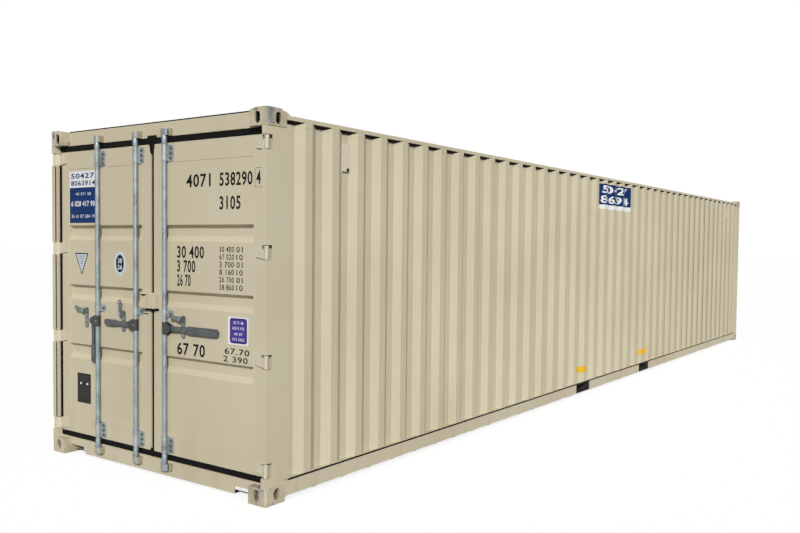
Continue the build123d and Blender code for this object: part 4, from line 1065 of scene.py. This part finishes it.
def seal_lips():
    # The seal's outer lip laps over the leaf's edges between its hinges, at its head and foot,
    # and a short black strip at the seam under the lock box is also the box's painted shadow
    back = LEAF_FACE + 0.0115
    for body, side in LEAVES:
        lips = []
        left, right = mirrored(side, 1.149, 1.167)
        for below, above in zip(HINGE_HEIGHTS, HINGE_HEIGHTS[1:]):
            low, high = below + 0.050, above - 0.050
            lips.append(plate("lip", (left, LEAF_FACE - 0.011, low), (right, back, high), 0.003))
        left, right = mirrored(side, 0.005, 1.160)
        for low, high in ((0.138, 0.179), (2.424, 2.470)):
            lips.append(plate("lip", (left, LEAF_FACE - 0.0016, low), (right, back, high)))
        # Under the lock box: rubber that also serves as the box's painted cast shadow
        left, right = mirrored(side, 0.005, 0.074)
        low, high = (left, LEAF_FACE - 0.004, 1.212), (right, LEAF_FACE, 1.2325)
        lips.append(plate("lip", low, high, 0.001))
        fit(join(lips, f"{body}_seal_lips"), FINISHES["rubber_seal"], body)


def post_groove_shadows():
    # Painted shadow in the corner inside each door post, between its hinges
    strips = []
    for side in (1, -1):
        left, right = mirrored(side, 1.1712, 1.1722)
        for below, above in zip(HINGE_HEIGHTS, HINGE_HEIGHTS[1:]):
            low, high = below + 0.055, above - 0.055
            strips.append(plate("groove", (left, POST_FACE, low), (right, POST_FACE + 0.0095, high)))
    fit(join(strips, "post_groove_shadows"), GROOVE_SHADE_AND_PRINT, "container")


def slim_top_rails():
    # The rails' faces are half as tall as their tubes, and strips of wall run up to them
    rails = []
    heads = []
    for side in (1, -1):
        left, right = mirrored(side, RAIL_HIGH[0] - RAIL_WIDTH, RAIL_HIGH[0])
        low = (left, RAIL_LOW[1], RAIL_BOTTOM)
        high = (right, RAIL_HIGH[1], RAIL_HIGH[2])
        rails.append(plate("rail", low, high, 0.003))
        head = wall_label("head", (-WALL_END, WALL_TOP - 0.001), (WALL_END, RAIL_BOTTOM + 0.001), 0.0)
        if side < 0:
            for vertex in head.data.vertices:
                vertex.co.x = -vertex.co.x
            head.data.flip_normals()
        heads.append(head)
    rail = join(rails, "top_rails")
    fit(rail, FRAME_PAINT, "container")
    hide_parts("top_side_rails")
    fit(join(heads, "wall_heads"), WALL_PAINT, "container")


def rail_underside_shade():
    # A dark bead, painted shade under each top rail, fills the corner between the rail and the recesses
    # of the wall
    beads = []
    for side in (1, -1):
        left, right = mirrored(side, 1.1785, 1.2120)
        low = (left, -WALL_END, RAIL_BOTTOM - 0.019)
        bead = plate("bead", low, (right, WALL_END, RAIL_BOTTOM + 0.0005))
        for vertex in bead.data.vertices:
            if abs(vertex.co.x) > 1.2 and vertex.co.z < RAIL_BOTTOM - 0.01:
                vertex.co.z = RAIL_BOTTOM - 0.001
        beads.append(bead)
    fit(join(beads, "rail_underside_shade"), FINISHES["rubber_seal"], "container")


def casting_gussets():
    # Small wedges behind the top castings, on the rails
    top = RAIL_HIGH[2]
    wedges = []
    for side in (1, -1):
        for end in (1, -1):
            across = mirrored(side, 1.168, 1.214)
            along = mirrored(end, 5.880, 5.919)
            wedge = plate("gusset", (across[0], along[0], top), (across[1], along[1], top + 0.024))
            for vertex in wedge.data.vertices:
                if abs(vertex.co.y) < 5.9 and vertex.co.z > top + 0.01:
                    vertex.co.z = top + 0.001
            wedges.append(wedge)
    fit(join(wedges, "casting_gussets"), FRAME_PAINT, "container")


def recess_shade_lines():
    # Dark strips of painted shade between the walls and the bottom rails, and along the roof's front
    # edge
    lines = []
    for side in (1, -1):
        left, right = mirrored(side, 1.199, 1.2115)
        lines.append(plate("shade_strip", (left, -WALL_END, 0.1312), (right, WALL_END, 0.1480)))
    lines.append(plate("shade_strip", (-1.056, BEAM_FACE + 0.002, 2.577), (1.056, -5.925, 2.586)))
    fit(join(lines, "recess_shade_lines"), FINISHES["rubber_seal"], "container")


def vent_details():
    # Two screws at the head of each vent, and a dark film near its foot, the painted shade of its mouth
    screws = []
    mouth_shades = []
    for side in (1, -1):
        face = side * VENT_FACE
        for y in (-VENT_Y, VENT_Y):
            for across in (-0.020, 0.020):
                centre = (face, y + across, 2.415)
                screws.append(round_bar("screw", centre, 0.004, 0.003, axis="X", vertices=12))
            low = (face - 0.0008, y + 0.004, 2.240)
            high = (face + 0.0008, y + 0.030, 2.262)
            mouth_shades.append(plate("hole", low, high))
    fit(join(screws, "vent_screws"), FINISHES["galvanised_steel"], "container")
    fit(join(mouth_shades, "vent_mouth_shades"), SHADOW_GAP, "container")


right_leaf_figures()
boxed_figure()
right_leaf_label()
left_leaf_labels()
triangle_sign()
oval_sign()
left_leaf_data_plate()
wall_labels()
bracket_bolts()
bar_sleeves()
catch_rivets()
hinge_pin_heads()
lock_box_details()
leaf_welds()
beam_welds()
seam_rubber()
seal_lips()
post_groove_shadows()
slim_top_rails()
rail_underside_shade()
casting_gussets()
recess_shade_lines()
vent_details()


# Camera, light and floor

# The camera that was fitted to the photograph; its turns are azimuth, elevation and roll in degrees
EYE_PLACE = (4.9952, -9.8002, 1.7216)
EYE_TURNS = (34.460, 2.247, 0.683)
EYE_LENS = 36.485
EYE_SHIFT = (-0.0316, 0.0120)
SENSOR_WIDTH = 36
FLOOR_SIZE = 400


def camera():
    azimuth, elevation, roll = map(math.radians, EYE_TURNS)
    across = math.cos(elevation)
    back = Vector((math.sin(azimuth) * across, -math.cos(azimuth) * across, math.sin(elevation)))
    right = Vector((math.cos(azimuth), math.sin(azimuth), 0))
    up = back.cross(right)
    turned = math.cos(roll) * right + math.sin(roll) * up
    raised = math.cos(roll) * up - math.sin(roll) * right
    deselect()
    bpy.ops.object.camera_add()
    eye = bpy.context.object
    facing = Matrix((turned, raised, back)).transposed().to_4x4()
    eye.matrix_world = Matrix.Translation(EYE_PLACE) @ facing
    eye.data.sensor_width = SENSOR_WIDTH
    eye.data.lens = EYE_LENS
    eye.data.shift_x, eye.data.shift_y = EYE_SHIFT
    eye.data.clip_end = FLOOR_SIZE
    bpy.context.scene.camera = eye


def sun(name, azimuth, elevation, strength, spread, colour):
    # A lamp so far away that only its direction counts, with its angles in degrees
    deselect()
    turn = (math.radians(90 - elevation), 0, math.radians(azimuth))
    bpy.ops.object.light_add(type="SUN", rotation=turn, location=(0, 0, 20))
    lamp = bpy.context.object
    lamp.name = name
    lamp.data.energy = strength
    lamp.data.angle = math.radians(spread)
    lamp.data.color = colour


def bright_where_seen(tree):
    # 1 for a ray from the camera, a mirror or a clear surface, 0 for the rays that light the container
    path = tree.nodes.new("ShaderNodeLightPath")
    seen = Signal(tree, path.outputs["Is Camera Ray"])
    for output in ("Is Glossy Ray", "Is Transmission Ray"):
        seen = seen.maths("MAXIMUM", seen, Signal(tree, path.outputs[output]))
    return seen


def studio_floor():
    # Pale where it is seen, and painted dark under the container as shade
    deselect()
    bpy.ops.mesh.primitive_plane_add(size=FLOOR_SIZE)
    ground = bpy.context.object
    ground.name = "studio_floor"
    finish = Finish("studio_floor")
    covered = (finish.distance("X") < 1.10) * (finish.distance("Y") < 5.82)
    finish.feed(
        base_color=finish.mix(covered, FLOOR_GREY, FLOOR_SHADE),
        roughness=0.95,
        specular_ior_level=0.0,
        emission_color=WHITE,
    )
    lift = bright_where_seen(finish.tree) * (1 - covered) * 0.80
    finish.tree.links.new(lift.socket, finish.shader.inputs["Emission Strength"])
    ground.data.materials.append(finish.material)


def choose(tree, factor, kind, sockets, choices, output):
    # A Mix node of numbers or colours that gives the second choice where the factor is 1
    node = tree.nodes.new("ShaderNodeMix")
    node.data_type = kind
    for socket, choice in zip(sockets, choices):
        node.inputs[socket].default_value = choice
    tree.links.new(factor.socket, node.inputs[MIX_FACTOR])
    return node.outputs[output]


def pale_sky():
    # White where it is seen, and a weaker, bluer light for the container
    world = bpy.data.worlds.new("pale_sky")
    bpy.context.scene.world = world
    world.use_nodes = True
    tree = world.node_tree
    backdrop = tree.nodes["Background"]
    seen = bright_where_seen(tree)
    tint = choose(tree, seen, "RGBA", MIX_COLOURS, (SKY_TINT, WHITE), MIX_COLOUR_OUT)
    tree.links.new(tint, backdrop.inputs["Color"])
    power = choose(tree, seen, "FLOAT", MIX_VALUES, (0.34, 1.0), MIX_VALUE_OUT)
    tree.links.new(power, backdrop.inputs["Strength"])


camera()
sun("key_light", azimuth=43, elevation=26, strength=3.15, spread=4, colour=(1.0, 0.985, 0.955))
sun("sky_light", azimuth=-30, elevation=35, strength=0.10, spread=60, colour=(0.82, 0.92, 1.0))
studio_floor()
pale_sky()
bpy.context.scene.view_settings.view_transform = "Standard"
